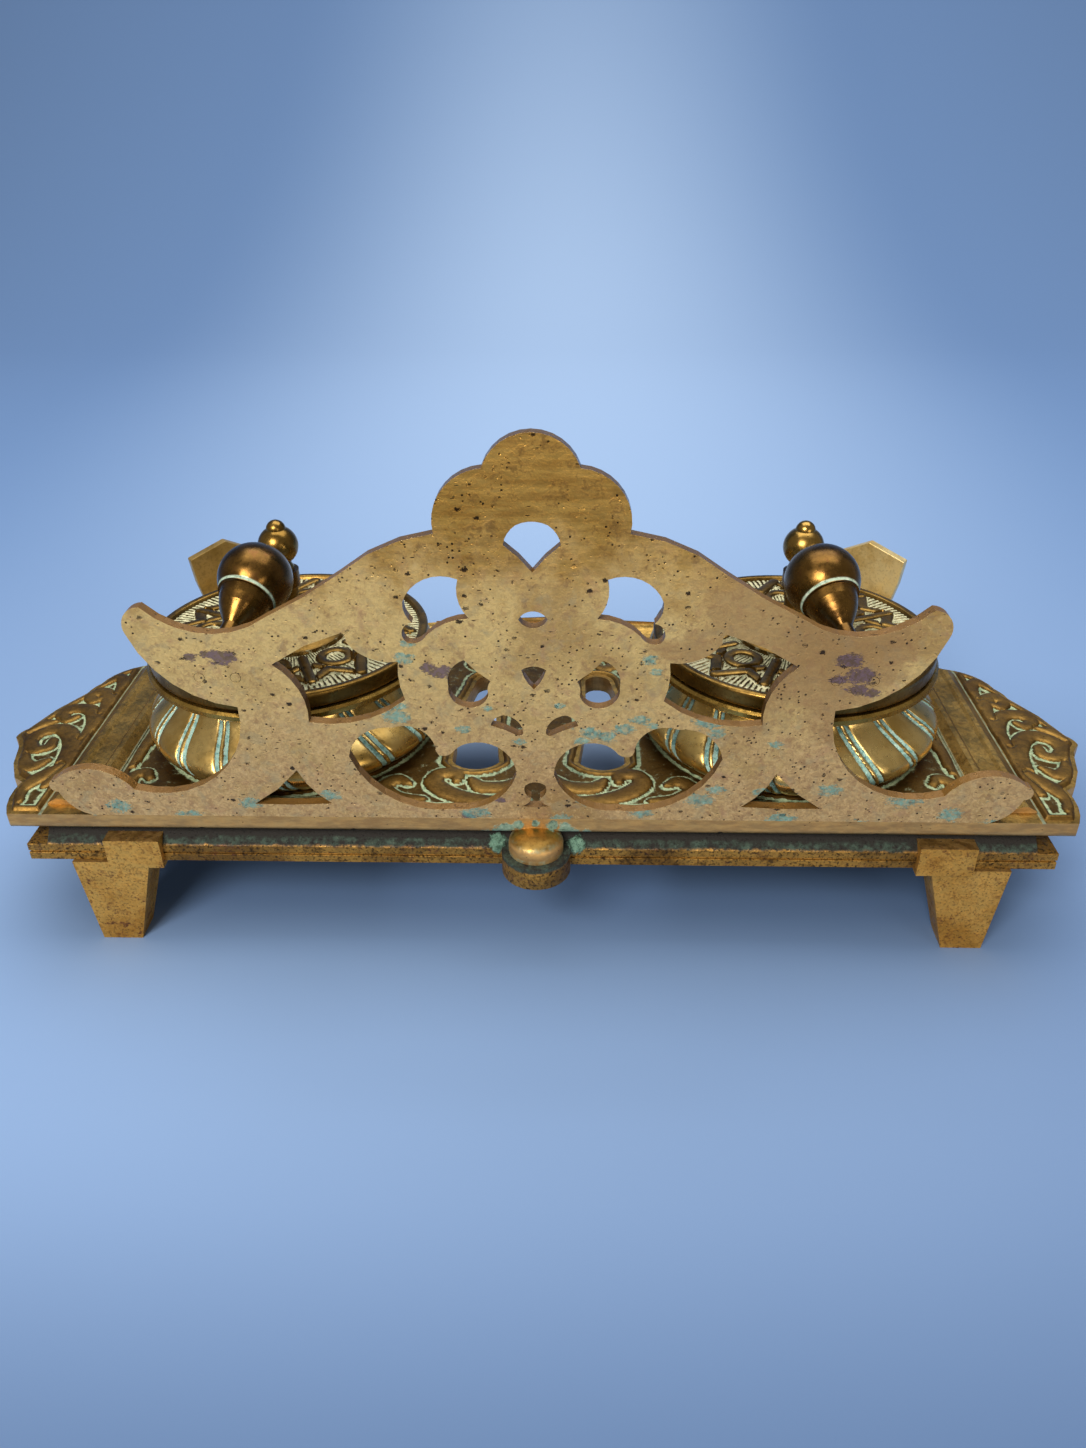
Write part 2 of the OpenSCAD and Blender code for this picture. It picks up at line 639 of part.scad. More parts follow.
liner_r = pot_bore_r - collar_spigot_t - 0.3;
liner_floor_t = 2.6;
liner_bottom = 4.6;
liner_top = pot_body_h + collar_h - 0.1;
lip_t = lip_seat_h - 0.1;
module pot_liner(side) {
    color("#BFD9CF") translate([side * pot_x, y_at(pot_depth), deck_z]) rotate_extrude() difference() {
        union() {
            translate([0, liner_bottom]) square([liner_r, liner_top - liner_bottom]);
            translate([0, liner_top - lip_t]) square([lip_seat_r - 0.3, lip_t]);
        }
        translate([0, liner_bottom + liner_floor_t]) square([liner_r - liner_wall, liner_top]);
    }
}
module pot_liner_left() { pot_liner(left); }
module pot_liner_right() { pot_liner(right); }

pot_bolt_head_r = 4.4;
pot_bolt_head_t = 1.8;
pot_nut_t = 2.6;
pot_bolt_length = pot_floor_t + tray_t + pot_nut_t + 0.8;
module pot_bolts() {
    color("#7A5A24") each_pot() translate([0, 0, deck_z + pot_floor_t]) {
        cylinder(r = pot_bolt_head_r, h = pot_bolt_head_t, $fn = 6);
        translate([0, 0, -pot_bolt_length]) cylinder(r = pot_bolt_r, h = pot_bolt_length);
    }
}
module pot_nuts() {
    color("#7A5A24") each_pot() translate([0, 0, tray_z - pot_nut_t]) difference() {
        cylinder(r = pot_bolt_head_r, h = pot_nut_t, $fn = 6);
        translate([0, 0, -cut]) cylinder(r = pot_bolt_r + slip, h = pot_nut_t + 2 * cut);
    }
}

// ---- Hinges ----
knuckle_r = pin_r + 1.4;
knuckle_half = 2.5;
ear_gap = 0.15;
ear_t = 2;
leaf_t = 1.5;
leaf_w = 12;
leaf_h = 8;
ear_far = knuckle_half + ear_gap + ear_t;
module at_hinge() {
    translate([hinge_x, y_at(hinge_depth), hinge_z]) children();
}
module hinge_bracket(side) {
    color("#9A7636") scale_side(side) difference() {
        union() {
            for (u = [-1, 1]) at_hinge() translate([u > 0 ? knuckle_half + ear_gap : -ear_far, 0, 0]) {
                rotate([0, 90, 0]) cylinder(r = knuckle_r, h = ear_t);
                translate([0, 0, -knuckle_r]) cube([ear_t, hinge_reach, 2 * knuckle_r]);
            }
            at_hinge() translate([-leaf_w / 2, hinge_reach - leaf_t, -leaf_h])
                cube([leaf_w, leaf_t, leaf_h - knuckle_r + 0.6]);
        }
        at_hinge() rotate([0, 90, 0])
            cylinder(r = pin_r + slip, h = 4 * ear_far, center = true);
        for (u = [-1, 1]) at_hinge()
            translate([u * bracket_rivet_out, hinge_reach + cut, -bracket_rivet_drop])
                rotate([90, 0, 0]) cylinder(r = bracket_rivet_r + hole_clear, h = leaf_t + 2 * cut);
    }
}
module hinge_bracket_left() { hinge_bracket(left); }
module hinge_bracket_right() { hinge_bracket(right); }
module bracket_rivets() {
    color("#8C6A2C") each_bracket_rivet() {
        cylinder(r = bracket_rivet_r, h = gallery_t + leaf_t + 0.7);
        translate([0, 0, gallery_t + leaf_t]) cylinder(r = bracket_rivet_r + 0.8, h = 0.7);
    }
}
pin_head_t = 0.8;
module hinge_pin(side) {
    color("#7A5A24") scale_side(side) at_hinge() rotate([0, 90, 0]) {
        cylinder(r = pin_r, h = 2 * (ear_far + pin_head_t), center = true);
        for (u = [-1, 1]) translate([0, 0, u * (ear_far + slip + pin_head_t / 2)])
            cylinder(r = pin_r + 0.6, h = pin_head_t, center = true);
    }
}
module hinge_pin_left() { hinge_pin(left); }
module hinge_pin_right() { hinge_pin(right); }

// ---- Lids ----
rod_r = 1.6;
lid_ground_drop = 0.9;
lid_ring_r = liner_r - liner_wall - 1.7;
lid_ring_t = 1.6;
lid_ring_h = 1.8;
pillar_foot_r = 4.6;
pillar_top_r = 3.5;
// Strapwork of one eighth of a lid: lines of [angle, radius]
strap_half_w = 1.1;
strap_zigzag = [[0, 31.2], [11, 25], [22.5, 29], [34, 25], [45, 31.2]];
strap_bar = [[22.5, 29], [22.5, 17]];
strap_cross = [[3, 28.5], [12.5, 22.6], [22.5, 21], [32.5, 22.6], [42, 28.5]];
strap_loop_at = 20.4;
strap_loop_r = 3.6;
strap_scale = (lid_r - lid_rim_w) / 33.3;
function strap_line(line) = [
    for (q = line) [q.y * strap_scale * cos(q.x), q.y * strap_scale * sin(q.x), strap_half_w]
];
module lid_straps() {
    translate([0, 0, lid_t - lid_ground_drop - 0.2]) for (k = [0:7]) rotate([0, 0, 45 * k]) {
        for (line = [strap_zigzag, strap_bar, strap_cross])
            linear_extrude(0.2 + strap_h) polygon(ribbon(strap_line(line)));
        translate([strap_loop_at * strap_scale, 0, 0]) difference() {
            cylinder(r = strap_loop_r + strap_half_w, h = 0.2 + strap_h, $fn = 32);
            translate([0, 0, -cut]) cylinder(r = strap_loop_r - strap_half_w, h = 1 + strap_h, $fn = 32);
        }
    }
}
module lid(side) {
    color("#8E6C26") translate([side * pot_x, y_at(pot_depth), lid_z]) {
        lid_straps();
        lid_form();
    }
}
module lid_form() {
    boss_round = (boss_r * boss_r + boss_h * boss_h) / (2 * boss_h);
    rotate_extrude() difference() {
        union() {
            polygon([
                [0, 0], [lid_r - 0.6, 0], [lid_r, 0.6], [lid_r, lid_t - 0.6], [lid_r - 0.6, lid_t],
                [lid_r - lid_rim_w, lid_t], [lid_r - lid_rim_w - 0.6, lid_t - lid_ground_drop],
                [boss_r, lid_t - lid_ground_drop], [boss_r, lid_t], [0, lid_t]
            ]);
            intersection() {
                translate([0, lid_t + boss_h - boss_round]) circle(r = boss_round, $fn = 128);
                translate([0, lid_t - 0.1]) square([boss_r, boss_h + 0.1]);
            }
            polygon([
                [0, lid_t], [pillar_foot_r + 1.4, lid_t + boss_h - 0.6], [pillar_foot_r + 0.2, lid_t + boss_h + 0.8],
                [pillar_foot_r - 0.6, lid_t + boss_h + 2], [pillar_top_r - 0.5, lid_t + boss_h + 5],
                [pillar_top_r, lid_t + boss_h + pillar_h - 1.2], [pillar_top_r, lid_t + boss_h + pillar_h],
                [0, lid_t + boss_h + pillar_h]
            ]);
            translate([lid_ring_r - lid_ring_t, -lid_ring_h]) square([lid_ring_t, lid_ring_h + 0.5]);
        }
        translate([0, -2 * lid_ring_h]) square([rod_r + slip, 2 * lid_t + boss_h + pillar_h + 2 * lid_ring_h]);
    }
}
module lid_left() { lid(left); }
module lid_right() { lid(right); }

// The arm runs from the hinge through its bell and ball, and drops to an eye on the pillar.
eye_r = 4.2;
eye_h = 4;
eye_z = pillar_top_z + eye_h / 2;
ball_forward = 16.6;
ball_up = 7.2;
ball_in = 3.9;
link_r = 2.6;
link_ring_r = 5;
link_ring_t = 1.4;
// Points in the hinge's own frame: x out, y back, z up
ball_at = [-ball_in, -ball_forward, ball_up];
eye_at = [pot_x - hinge_x, hinge_depth - pot_depth, eye_z - hinge_z];
// Turns +Z to a direction
module along(v) {
    rotate([0, acos(v.z / norm(v)), atan2(v.y, v.x)]) children();
}
neck_out_r = 2;
bell_r = 6;
bell_bead_r = 6.6;
module lid_arm(side) {
    reach = norm(ball_at);
    bell_end = reach - sqrt(arm_ball_r * arm_ball_r - bell_bead_r * bell_bead_r);
    drop = eye_at - ball_at;
    color("#8F6F34") scale_side(side) at_hinge() difference() {
        union() {
            rotate([0, 90, 0]) cylinder(r = knuckle_r - 0.1, h = 2 * knuckle_half, center = true);
            along(ball_at) rotate_extrude() polygon([
                [0, 0], [neck_out_r, 0], [neck_out_r, bell_end * 0.32], [2.8, bell_end * 0.42],
                [3.9, bell_end * 0.54], [4.8, bell_end * 0.66], [5.5, bell_end * 0.8],
                [bell_r, bell_end - 0.6], [bell_bead_r, bell_end - 0.5], [bell_bead_r, bell_end + 0.4],
                [bell_r, reach], [0, reach]
            ]);
            translate(ball_at) sphere(r = arm_ball_r, $fn = 96);
            translate(ball_at) along(drop) {
                cylinder(r = link_r, h = norm(drop));
                translate([0, 0, sqrt(arm_ball_r * arm_ball_r - link_ring_r * link_ring_r)])
                    cylinder(r = link_ring_r, h = link_ring_t, center = true);
            }
            translate(eye_at) cylinder(r = eye_r, h = eye_h, center = true);
        }
        rotate([0, 90, 0]) cylinder(r = pin_r + pin_clear, h = 4 * knuckle_half, center = true);
        translate(eye_at) {
            cylinder(r = rod_r + slip, h = 3 * eye_h, center = true);
            translate([0, 0, -eye_h / 2 - 2 * eye_h]) cylinder(r = pillar_top_r + 1, h = 2 * eye_h);
            translate([0, 0, eye_h / 2]) cylinder(r = eye_r, h = 2 * eye_h);
        }
    }
}
module lid_arm_left() { lid_arm(left); }
module lid_arm_right() { lid_arm(right); }

finial_neck_h = 2.1;
finial_shoulder_r = 3.2;
nub_r = 2.4;
nub_up = 4.1;
rod_end = 2.4;
finial_nut_r = 3.2;
finial_nut_t = 1.6;
module finial(side) {
    ball_z = finial_neck_h + sqrt(finial_r * finial_r - 2.4 * 2.4);
    rod = pillar_top_z + eye_h - lid_z + rod_end;
    color("#9C7A38") translate([side * pot_x, y_at(pot_depth), pillar_top_z + eye_h]) {
        translate([0, 0, ball_z]) sphere(r = finial_r, $fn = 72);
        translate([0, 0, ball_z + nub_up]) sphere(r = nub_r, $fn = 48);
        rotate_extrude() polygon([
            [0, 0], [finial_shoulder_r, 0], [finial_shoulder_r, 0.7], [2.4, finial_neck_h], [2.4, ball_z], [0, ball_z]
        ]);
        translate([0, 0, -rod]) cylinder(r = rod_r, h = rod + finial_neck_h);
    }
}
module finial_left() { finial(left); }
module finial_right() { finial(right); }
module finial_nut(side) {
    color("#7A5A24") translate([side * pot_x, y_at(pot_depth), lid_z - finial_nut_t]) difference() {
        cylinder(r = finial_nut_r, h = finial_nut_t, $fn = 6);
        translate([0, 0, -cut]) cylinder(r = rod_r + slip, h = finial_nut_t + 2 * cut);
    }
}
module finial_nut_left() { finial_nut(left); }
module finial_nut_right() { finial_nut(right); }

// ---- Pen rests ----
rest_t = 2.6;
notch_r = 2.2;
module pen_rest_blade() {
    w = rest_w / 2;
    difference() {
        polygon(bowed([
            [-1, rest_h, 0], [w, rest_h - 3.5, 0.4], [w - 2.6, rest_h * 0.45, -0.8], [4, 0, 0],
            [-4, 0, -0.8], [-w + 2.6, rest_h * 0.45, 0.4], [-w, rest_h - 5, 0]
        ]));
        translate([-w + 0.6, rest_h * 0.62]) circle(r = notch_r);
    }
}
module pen_rest_body() {
    difference() {
        union() {
            translate([0, rest_t / 2, 0]) rotate([90, 0, 0]) linear_extrude(rest_t) pen_rest_blade();
            translate([-rest_base_w / 2, -rest_base_d / 2, 0]) cube([rest_base_w, rest_base_d, rest_base_t]);
        }
        for (u = [-1, 1]) translate([u * rest_rivet_out, 0, -cut])
            cylinder(r = rest_rivet_r + slip, h = rest_base_t + 2 * cut);
    }
}
module pen_rest(side) {
    color("#B58E38") scale_side(side) translate([rest_x, y_at(rest_depth), deck_z])
        rotate([0, 0, rest_turn]) pen_rest_body();
}
module pen_rest_left() { pen_rest(left); }
module pen_rest_right() { pen_rest(right); }
module pen_rest_rivets() {
    color("#7A5A24") each_rest_rivet() translate([0, 0, -tray_t + 0.1]) {
        cylinder(r = rest_rivet_r + rest_rivet_head, h = rest_rivet_head - 0.1);
        cylinder(r = rest_rivet_r, h = tray_t + rest_base_t);
        translate([0, 0, tray_t + rest_base_t - 0.1]) cylinder(r = rest_rivet_r + rest_rivet_head, h = 0.7);
    }
}

base_plate();
foot_back_left();
foot_back_right();
foot_front_left();
foot_front_right();
foot_screws();
tray();
tray_screws();
lug_rivet();
gallery();
gallery_screws();
pot_left();
pot_right();
pot_collar_left();
pot_collar_right();
pot_liner_left();
pot_liner_right();
pot_bolts();
pot_nuts();
hinge_bracket_left();
hinge_bracket_right();
bracket_rivets();
hinge_pin_left();
hinge_pin_right();
lid_left();
lid_right();
lid_arm_left();
lid_arm_right();
finial_left();
finial_right();
finial_nut_left();
finial_nut_right();
pen_rest_left();
pen_rest_right();
pen_rest_rivets();
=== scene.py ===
"""Looks of a cast brass desk inkstand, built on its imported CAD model.

Lengths in the recipes are millimetres in the model's frame, and MM turns them into metres.
"""

import json
import math

import bpy
import numpy as np
from mathutils import Matrix, Vector


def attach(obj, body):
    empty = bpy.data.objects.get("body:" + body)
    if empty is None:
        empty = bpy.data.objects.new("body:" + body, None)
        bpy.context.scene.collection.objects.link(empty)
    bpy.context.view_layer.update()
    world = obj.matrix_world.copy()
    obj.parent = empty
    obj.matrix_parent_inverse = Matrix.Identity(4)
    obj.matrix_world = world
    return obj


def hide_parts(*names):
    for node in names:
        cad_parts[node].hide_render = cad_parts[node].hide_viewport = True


MM = 0.001
# Y of the tray's back edge and of the gallery's back face, and Z of the tray's top
BACK = 49.4
DECK = 39.0
# Middle of the pots, left one at -POT_X
POT_X, POT_Y = 64.3, 6.0
SIDES = {-1: "left", 1: "right"}

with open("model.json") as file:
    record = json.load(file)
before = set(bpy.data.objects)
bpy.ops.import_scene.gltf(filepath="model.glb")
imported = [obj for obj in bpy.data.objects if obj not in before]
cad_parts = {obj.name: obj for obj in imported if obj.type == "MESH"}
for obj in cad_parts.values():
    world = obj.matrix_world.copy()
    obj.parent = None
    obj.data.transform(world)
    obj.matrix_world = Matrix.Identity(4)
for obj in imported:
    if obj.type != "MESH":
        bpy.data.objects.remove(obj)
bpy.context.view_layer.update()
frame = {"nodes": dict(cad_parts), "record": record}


def depth(d):
    """The Y of a point that lies d millimetres in front of the tray's back edge."""
    return BACK - d


# ---- Camera ----
def make_camera():
    """The view from behind and above, a little turned and tilted.

    Angles are degrees: how far it looks down, to the side, and how far the picture is tilted.
    """
    pitch, yaw, roll = (math.radians(v) for v in (31.6, -1.83, -0.56))
    place = Vector((-8.5, 255.6, 192.1)) * MM
    ahead = math.cos(pitch)
    forward = Vector((-math.sin(yaw) * ahead, -math.cos(yaw) * ahead, -math.sin(pitch)))
    level = Vector((-math.cos(yaw), math.sin(yaw), 0))
    upright = level.cross(forward)
    right = level * math.cos(roll) + upright * math.sin(roll)
    up = upright * math.cos(roll) - level * math.sin(roll)
    lens = bpy.data.cameras.new("camera")
    lens.lens, lens.sensor_width = 27.07, 36
    lens.clip_start, lens.clip_end = 0.01, 20
    camera = bpy.data.objects.new("camera", lens)
    turned = Matrix((right, up, -forward)).transposed().to_4x4()
    camera.matrix_world = Matrix.Translation(place) @ turned
    bpy.context.scene.collection.objects.link(camera)
    bpy.context.scene.camera = camera


make_camera()
bpy.context.scene.view_settings.view_transform = "Standard"


# ---- Nodes ----
def linear(text):
    """A hex colour as the linear RGBA that shaders take."""
    values = [int(text[i:i + 2], 16) / 255 for i in (1, 3, 5)]
    return tuple(v / 12.92 if v <= 0.04045 else ((v + 0.055) / 1.055) ** 2.4 for v in values) + (1.0,)


def add(tree, kind, *values, out=0, **settings):
    """Adds a node with its settings, and gives its output out, by place or name.

    values are its inputs in order, each a number, a colour, a vector or another node's output. They
    may be one dict instead, of inputs by name.
    """
    node = tree.nodes.new("ShaderNode" + kind)
    for name, value in settings.items():
        setattr(node, name, value)
    inputs = values[0] if values and isinstance(values[0], dict) else dict(enumerate(values))
    for place, value in inputs.items():
        if isinstance(value, bpy.types.NodeSocket):
            tree.links.new(value, node.inputs[place])
        else:
            node.inputs[place].default_value = value
    return node.outputs[out] if node.outputs else node


# A MapRange's smooth step from 0 to 1 between its first two numbers, or to the values after them
SMOOTH = {"interpolation_type": "SMOOTHSTEP"}


def new_material(name):
    """A material with an empty node tree."""
    material = bpy.data.materials.new(name)
    material.use_nodes = True
    material.node_tree.nodes.clear()
    return material, material.node_tree


def place_mm(tree, stretch=(1, 1, 1)):
    """Object coordinates in millimetres, stretched along an axis for brushed or streaky marks."""
    scale = tuple(s / MM for s in stretch)
    return add(tree, "Mapping", {"Vector": add(tree, "TexCoord", out="Object"), "Scale": scale})


def patches(tree, at, size, low, high, least=0.0, most=1.0, detail=3, rough=0.55, swirl=0.0):
    """Patches about size mm across, least where cloudy noise is under low and most where over high."""
    noise = add(tree, "TexNoise", {
        "Vector": at, "Scale": 1 / size, "Detail": detail, "Roughness": rough, "Distortion": swirl})
    return add(tree, "MapRange", noise, low, high, least, most, **SMOOTH)


def pinholes(tree, at, size, ragged, core):
    """Dots about size millimetres apart, solid to core and gone at ragged, both in shares of size."""
    apart = add(tree, "TexVoronoi", {"Vector": at, "Scale": 1 / size})
    return add(tree, "MapRange", apart, ragged, core, **SMOOTH)


def swing(tree, noise, reach):
    """Noise turned into a shift to both sides of 0."""
    both_ways = add(tree, "Math", noise, 0.5, operation="SUBTRACT")
    return add(tree, "Math", both_ways, reach, operation="MULTIPLY")


def paint(tree, colour, *layers):
    """Lays tones over a colour, one after another. Any colour may be hex.

    Each layer is a tone, the mask of where it lies, and its strength if that isn't full.
    """
    colour = linear(colour) if isinstance(colour, str) else colour
    for tone, mask, *strength in layers:
        tone = linear(tone) if isinstance(tone, str) else tone
        if strength:
            mask = add(tree, "Math", mask, strength[0], operation="MULTIPLY")
        colour = add(tree, "MixRGB", mask, colour, tone)
    return colour


def cover(tree, metal, roughness, mask, dull):
    """Metal and roughness under a deposit: no metal, and at least as rough as dull."""
    bare = add(tree, "Math", 1.0, mask, operation="SUBTRACT", use_clamp=True)
    dulled = add(tree, "Math", mask, dull, operation="MULTIPLY")
    return (add(tree, "Math", metal, bare, operation="MULTIPLY"),
            add(tree, "Math", roughness, dulled, operation="MAXIMUM"))


def facing(tree, axis):
    """How squarely a face looks along one of the object's axes, from -1 to 1."""
    return add(tree, "SeparateXYZ", add(tree, "TexCoord", out="Normal"), out=axis)


def either(tree, *masks):
    """The strongest of some masks."""
    found = masks[0]
    for mask in masks[1:]:
        found = add(tree, "Math", found, mask, operation="MAXIMUM")
    return found


def spot(tree, at, centre, radius, ragged):
    """A soft ragged patch round a point, 1 in its middle."""
    away = add(tree, "VectorMath", at, centre, operation="DISTANCE", out="Value")
    share = add(tree, "Math", away, radius, operation="DIVIDE")
    share = add(tree, "Math", share, ragged, operation="ADD")
    return add(tree, "MapRange", share, 1.0, 0.7, **SMOOTH)


VERDIGRIS = ("#3C6354", "#73A08B", "#B4CBB6")
CREAM = ("#8C9070", "#C6C29C", "#E8E0BC")


def crust(tree, at, tones):
    """Verdigris in its dark, middle and pale tones, mixed in small lumps."""
    tone = add(tree, "TexNoise", {"Vector": at, "Scale": 1 / 1.4, "Detail": 5, "Roughness": 0.7})
    return paint(tree, tones[0], (tones[1], add(tree, "MapRange", tone, 0.36, 0.54, **SMOOTH)),
                 (tones[2], add(tree, "MapRange", tone, 0.56, 0.74, **SMOOTH)))


def finish_metal(material, tree, colour, roughness, metal, height, reach):
    """Joins a metal's colour, roughness and share of metal in its shader, over a bump reach mm high."""
    normal = add(tree, "Bump", {"Height": height, "Strength": 1.0, "Distance": reach * MM})
    shader = add(tree, "BsdfPrincipled", {
        "Base Color": colour, "Roughness": roughness, "Metallic": metal, "Normal": normal})
    add(tree, "OutputMaterial", {"Surface": shader})
    return material


# Lumps of a cast skin: size in millimetres, detail, roughness and distortion of its clouds, mottle,
# grain, streaks and ragged edges
CAST_SKIN = (
    (14, 5, 0.6, 0), (2.6, 6, 0.65, 0), (0.7, 3, 0.6, 0), (1.1, 4, 0.6, 0.4), (2.4, 6, 0.75, 0))


def brass(name, tones, rough=(0.28, 0.5), metallic=0.95, tarnish=0.35, pits=0.25, pit_size=1.3,
          green=0.0, grooves=0.0, wall=None, ledge=None, bands=(), lines=(), spots=(), rust=0.0,
          seam=None, deposit=VERDIGRIS, sand=0.3, bump=0.12):
    """Aged cast brass. tones are its dark, middle and bright colours.

    tarnish darkens it in clouds, pits are small dark holes, sand is a fine grainy darkening, green is
    loose verdigris, rust is red-brown blotches, and grooves reads the ground attribute of relief
    pieces. wall and ledge are the colours of faces that stand upright and of faces that look up. bands
    are (low z, high z, strength, colour or None for verdigris), lines are distances from the middle
    along X where a fine line of verdigris sits on the deck, spots are (x, y, z, radius) patches of it,
    and seam is (point, direction) of a plane across the piece where a fine line of it sits, mirrored
    in X. deposit is the verdigris in its three tones.
    """
    material, tree = new_material(name)
    at = place_mm(tree)
    clouds, mottle, grain, streaks, ragged = (add(tree, "TexNoise", {
        "Vector": at, "Scale": 1 / size, "Detail": detail, "Roughness": harsh, "Distortion": swirl})
        for size, detail, harsh, swirl in CAST_SKIN)
    ragged = swing(tree, ragged, 2.0)
    dark, middle, bright = tones
    colour = paint(
        tree, middle,
        (bright, add(tree, "MapRange", clouds, 0.36, 0.64, **SMOOTH)),
        (dark, add(tree, "MapRange", mottle, 0.5, 0.72, **SMOOTH), tarnish),
        (bright, add(tree, "MapRange", streaks, 0.56, 0.74, **SMOOTH), 0.35),
        (dark, add(tree, "MapRange", grain, 0.5, 0.66, **SMOOTH), sand))
    metal = metallic
    uneven = add(tree, "Math", streaks, 0.5, operation="MULTIPLY")
    uneven = add(tree, "Math", mottle, uneven, operation="ADD")
    roughness = add(tree, "MapRange", uneven, 0.55, 0.95, rough[0], rough[1], **SMOOTH)
    if wall:
        upright = add(tree, "Math", facing(tree, "Z"), operation="ABSOLUTE")
        upright = add(tree, "MapRange", upright, 0.8, 0.4, 0, 0.85, **SMOOTH)
        rub = patches(tree, place_mm(tree, (0.35, 0.35, 1.4)), 2, 0.35, 0.65, detail=6, rough=0.7)
        colour = paint(tree, colour, (paint(tree, wall[0], (wall[1], rub)), upright))
        less = add(tree, "Math", upright, 0.3, operation="MULTIPLY")
        metal = add(tree, "Math", metallic, less, operation="SUBTRACT", use_clamp=True)
        more = add(tree, "Math", upright, 0.1, operation="MULTIPLY")
        roughness = add(tree, "Math", roughness, more, operation="ADD", use_clamp=True)
    # Faces that look up take the ledge colours: painted shade where they sit under another part
    if ledge:
        level = add(tree, "MapRange", facing(tree, "Z"), 0.5, 0.8, 0, 0.9, **SMOOTH)
        ledge_mottle = add(tree, "MapRange", mottle, 0.4, 0.6, **SMOOTH)
        colour = paint(tree, colour, (paint(tree, ledge[0], (ledge[1], ledge_mottle)), level))
        less = add(tree, "Math", level, metallic, operation="MULTIPLY")
        metal = add(tree, "Math", metallic, less, operation="SUBTRACT", use_clamp=True)
    if rust:
        blotch = add(tree, "Math", patches(tree, at, 2.8, 0.52, 0.66, detail=6, rough=0.75),
                     patches(tree, at, 12, 0.4, 0.6, 0.25, 1, detail=2), operation="MULTIPLY")
        colour = paint(tree, colour, ("#6A3C26", blotch, rust))
    # Casting pits: long dark holes where two scatterings agree
    least = 0.66 - 0.3 * pits
    chosen = patches(tree, at, 5.5, least, least + 0.06, detail=2)
    pit = add(tree, "Math", pinholes(tree, place_mm(tree, (1, 1, 1.7)), pit_size, 0.2, 0.1), chosen,
              operation="MULTIPLY")
    colour = paint(tree, colour, ("#2B2012", pit, 0.8))
    masks = [spot(tree, at, (x, y, z), radius, ragged) for x, y, z, radius in spots]
    if green:
        least = 0.76 - 0.16 * green
        masks.append(patches(tree, at, 7, least, least + 0.08, 0, 0.85, 6, 0.72, 0.3))
    along, back, high = (add(tree, "SeparateXYZ", at, out=axis) for axis in "XYZ")
    along = add(tree, "Math", along, operation="ABSOLUTE")
    wander = add(tree, "Math", ragged, 0.8, operation="MULTIPLY")
    wander = add(tree, "Math", high, wander, operation="ADD")
    for low, top, strength, tone in bands:
        inside = add(tree, "Math", add(tree, "MapRange", wander, low - 0.4, low + 0.3, **SMOOTH),
                     add(tree, "MapRange", wander, top + 0.4, top - 0.3, **SMOOTH),
                     operation="MULTIPLY")
        if tone:
            colour = paint(tree, colour, (tone, inside, strength))
            metal, roughness = cover(tree, metal, roughness, inside, 0.8)
        else:
            patchy = patches(tree, at, 3.4, 0.4, 0.62, 0, strength, 6, 0.75)
            masks.append(add(tree, "Math", inside, patchy, operation="MULTIPLY"))
    for line in lines:
        off = add(tree, "Math", add(tree, "Math", along, line, operation="SUBTRACT"),
                  add(tree, "Math", ragged, 0.2, operation="MULTIPLY"), operation="ADD")
        off = add(tree, "Math", off, operation="ABSOLUTE")
        masks.append(add(tree, "Math", add(tree, "MapRange", off, 0.6, 0.2, 0, 0.75, **SMOOTH),
                         add(tree, "MapRange", high, DECK - 0.5, DECK, **SMOOTH), operation="MULTIPLY"))
    if seam:
        point, direction = seam
        mirrored = add(tree, "CombineXYZ", along, back, high)
        apart = add(tree, "VectorMath", mirrored, point, operation="SUBTRACT")
        off = add(tree, "VectorMath", apart, direction, operation="DOT_PRODUCT", out="Value")
        shift = add(tree, "Math", ragged, 0.12, operation="MULTIPLY")
        off = add(tree, "Math", off, shift, operation="ADD")
        off = add(tree, "Math", off, operation="ABSOLUTE")
        masks.append(add(tree, "MapRange", off, 0.45, 0.14, 0, 0.9, **SMOOTH))
    if grooves:
        ground = add(tree, "Attribute", attribute_name="ground", out="Fac")
        worn = add(tree, "TexNoise", {"Vector": at, "Scale": 1 / 2.2, "Detail": 5, "Roughness": 0.75})
        worn = add(tree, "Math", ground, swing(tree, worn, 1.1), operation="ADD")
        masks.append(add(tree, "MapRange", worn, 0.48, 0.72, 0, grooves, **SMOOTH))
        colour = paint(tree, colour, (dark, add(tree, "MapRange", ground, 0.04, 0.4, **SMOOTH), 0.5))
    height = add(tree, "Math", add(tree, "Math", grain, 0.35, operation="MULTIPLY"),
                 add(tree, "Math", mottle, 0.8, operation="MULTIPLY"), operation="ADD")
    sunk = add(tree, "Math", pit, 0.9, operation="MULTIPLY")
    height = add(tree, "Math", height, sunk, operation="SUBTRACT")
    if masks:
        grown = either(tree, *masks)
        colour = paint(tree, colour, (crust(tree, at, deposit), grown))
        metal, roughness = cover(tree, metal, roughness, grown, 0.85)
        crumbs = add(tree, "TexNoise", {"Vector": at, "Scale": 1 / 0.9, "Detail": 4, "Roughness": 0.7})
        crumbs = add(tree, "Math", grown, crumbs, operation="MULTIPLY")
        height = add(tree, "Math", height, crumbs, operation="ADD")
    return finish_metal(material, tree, colour, roughness, metal, height, bump)


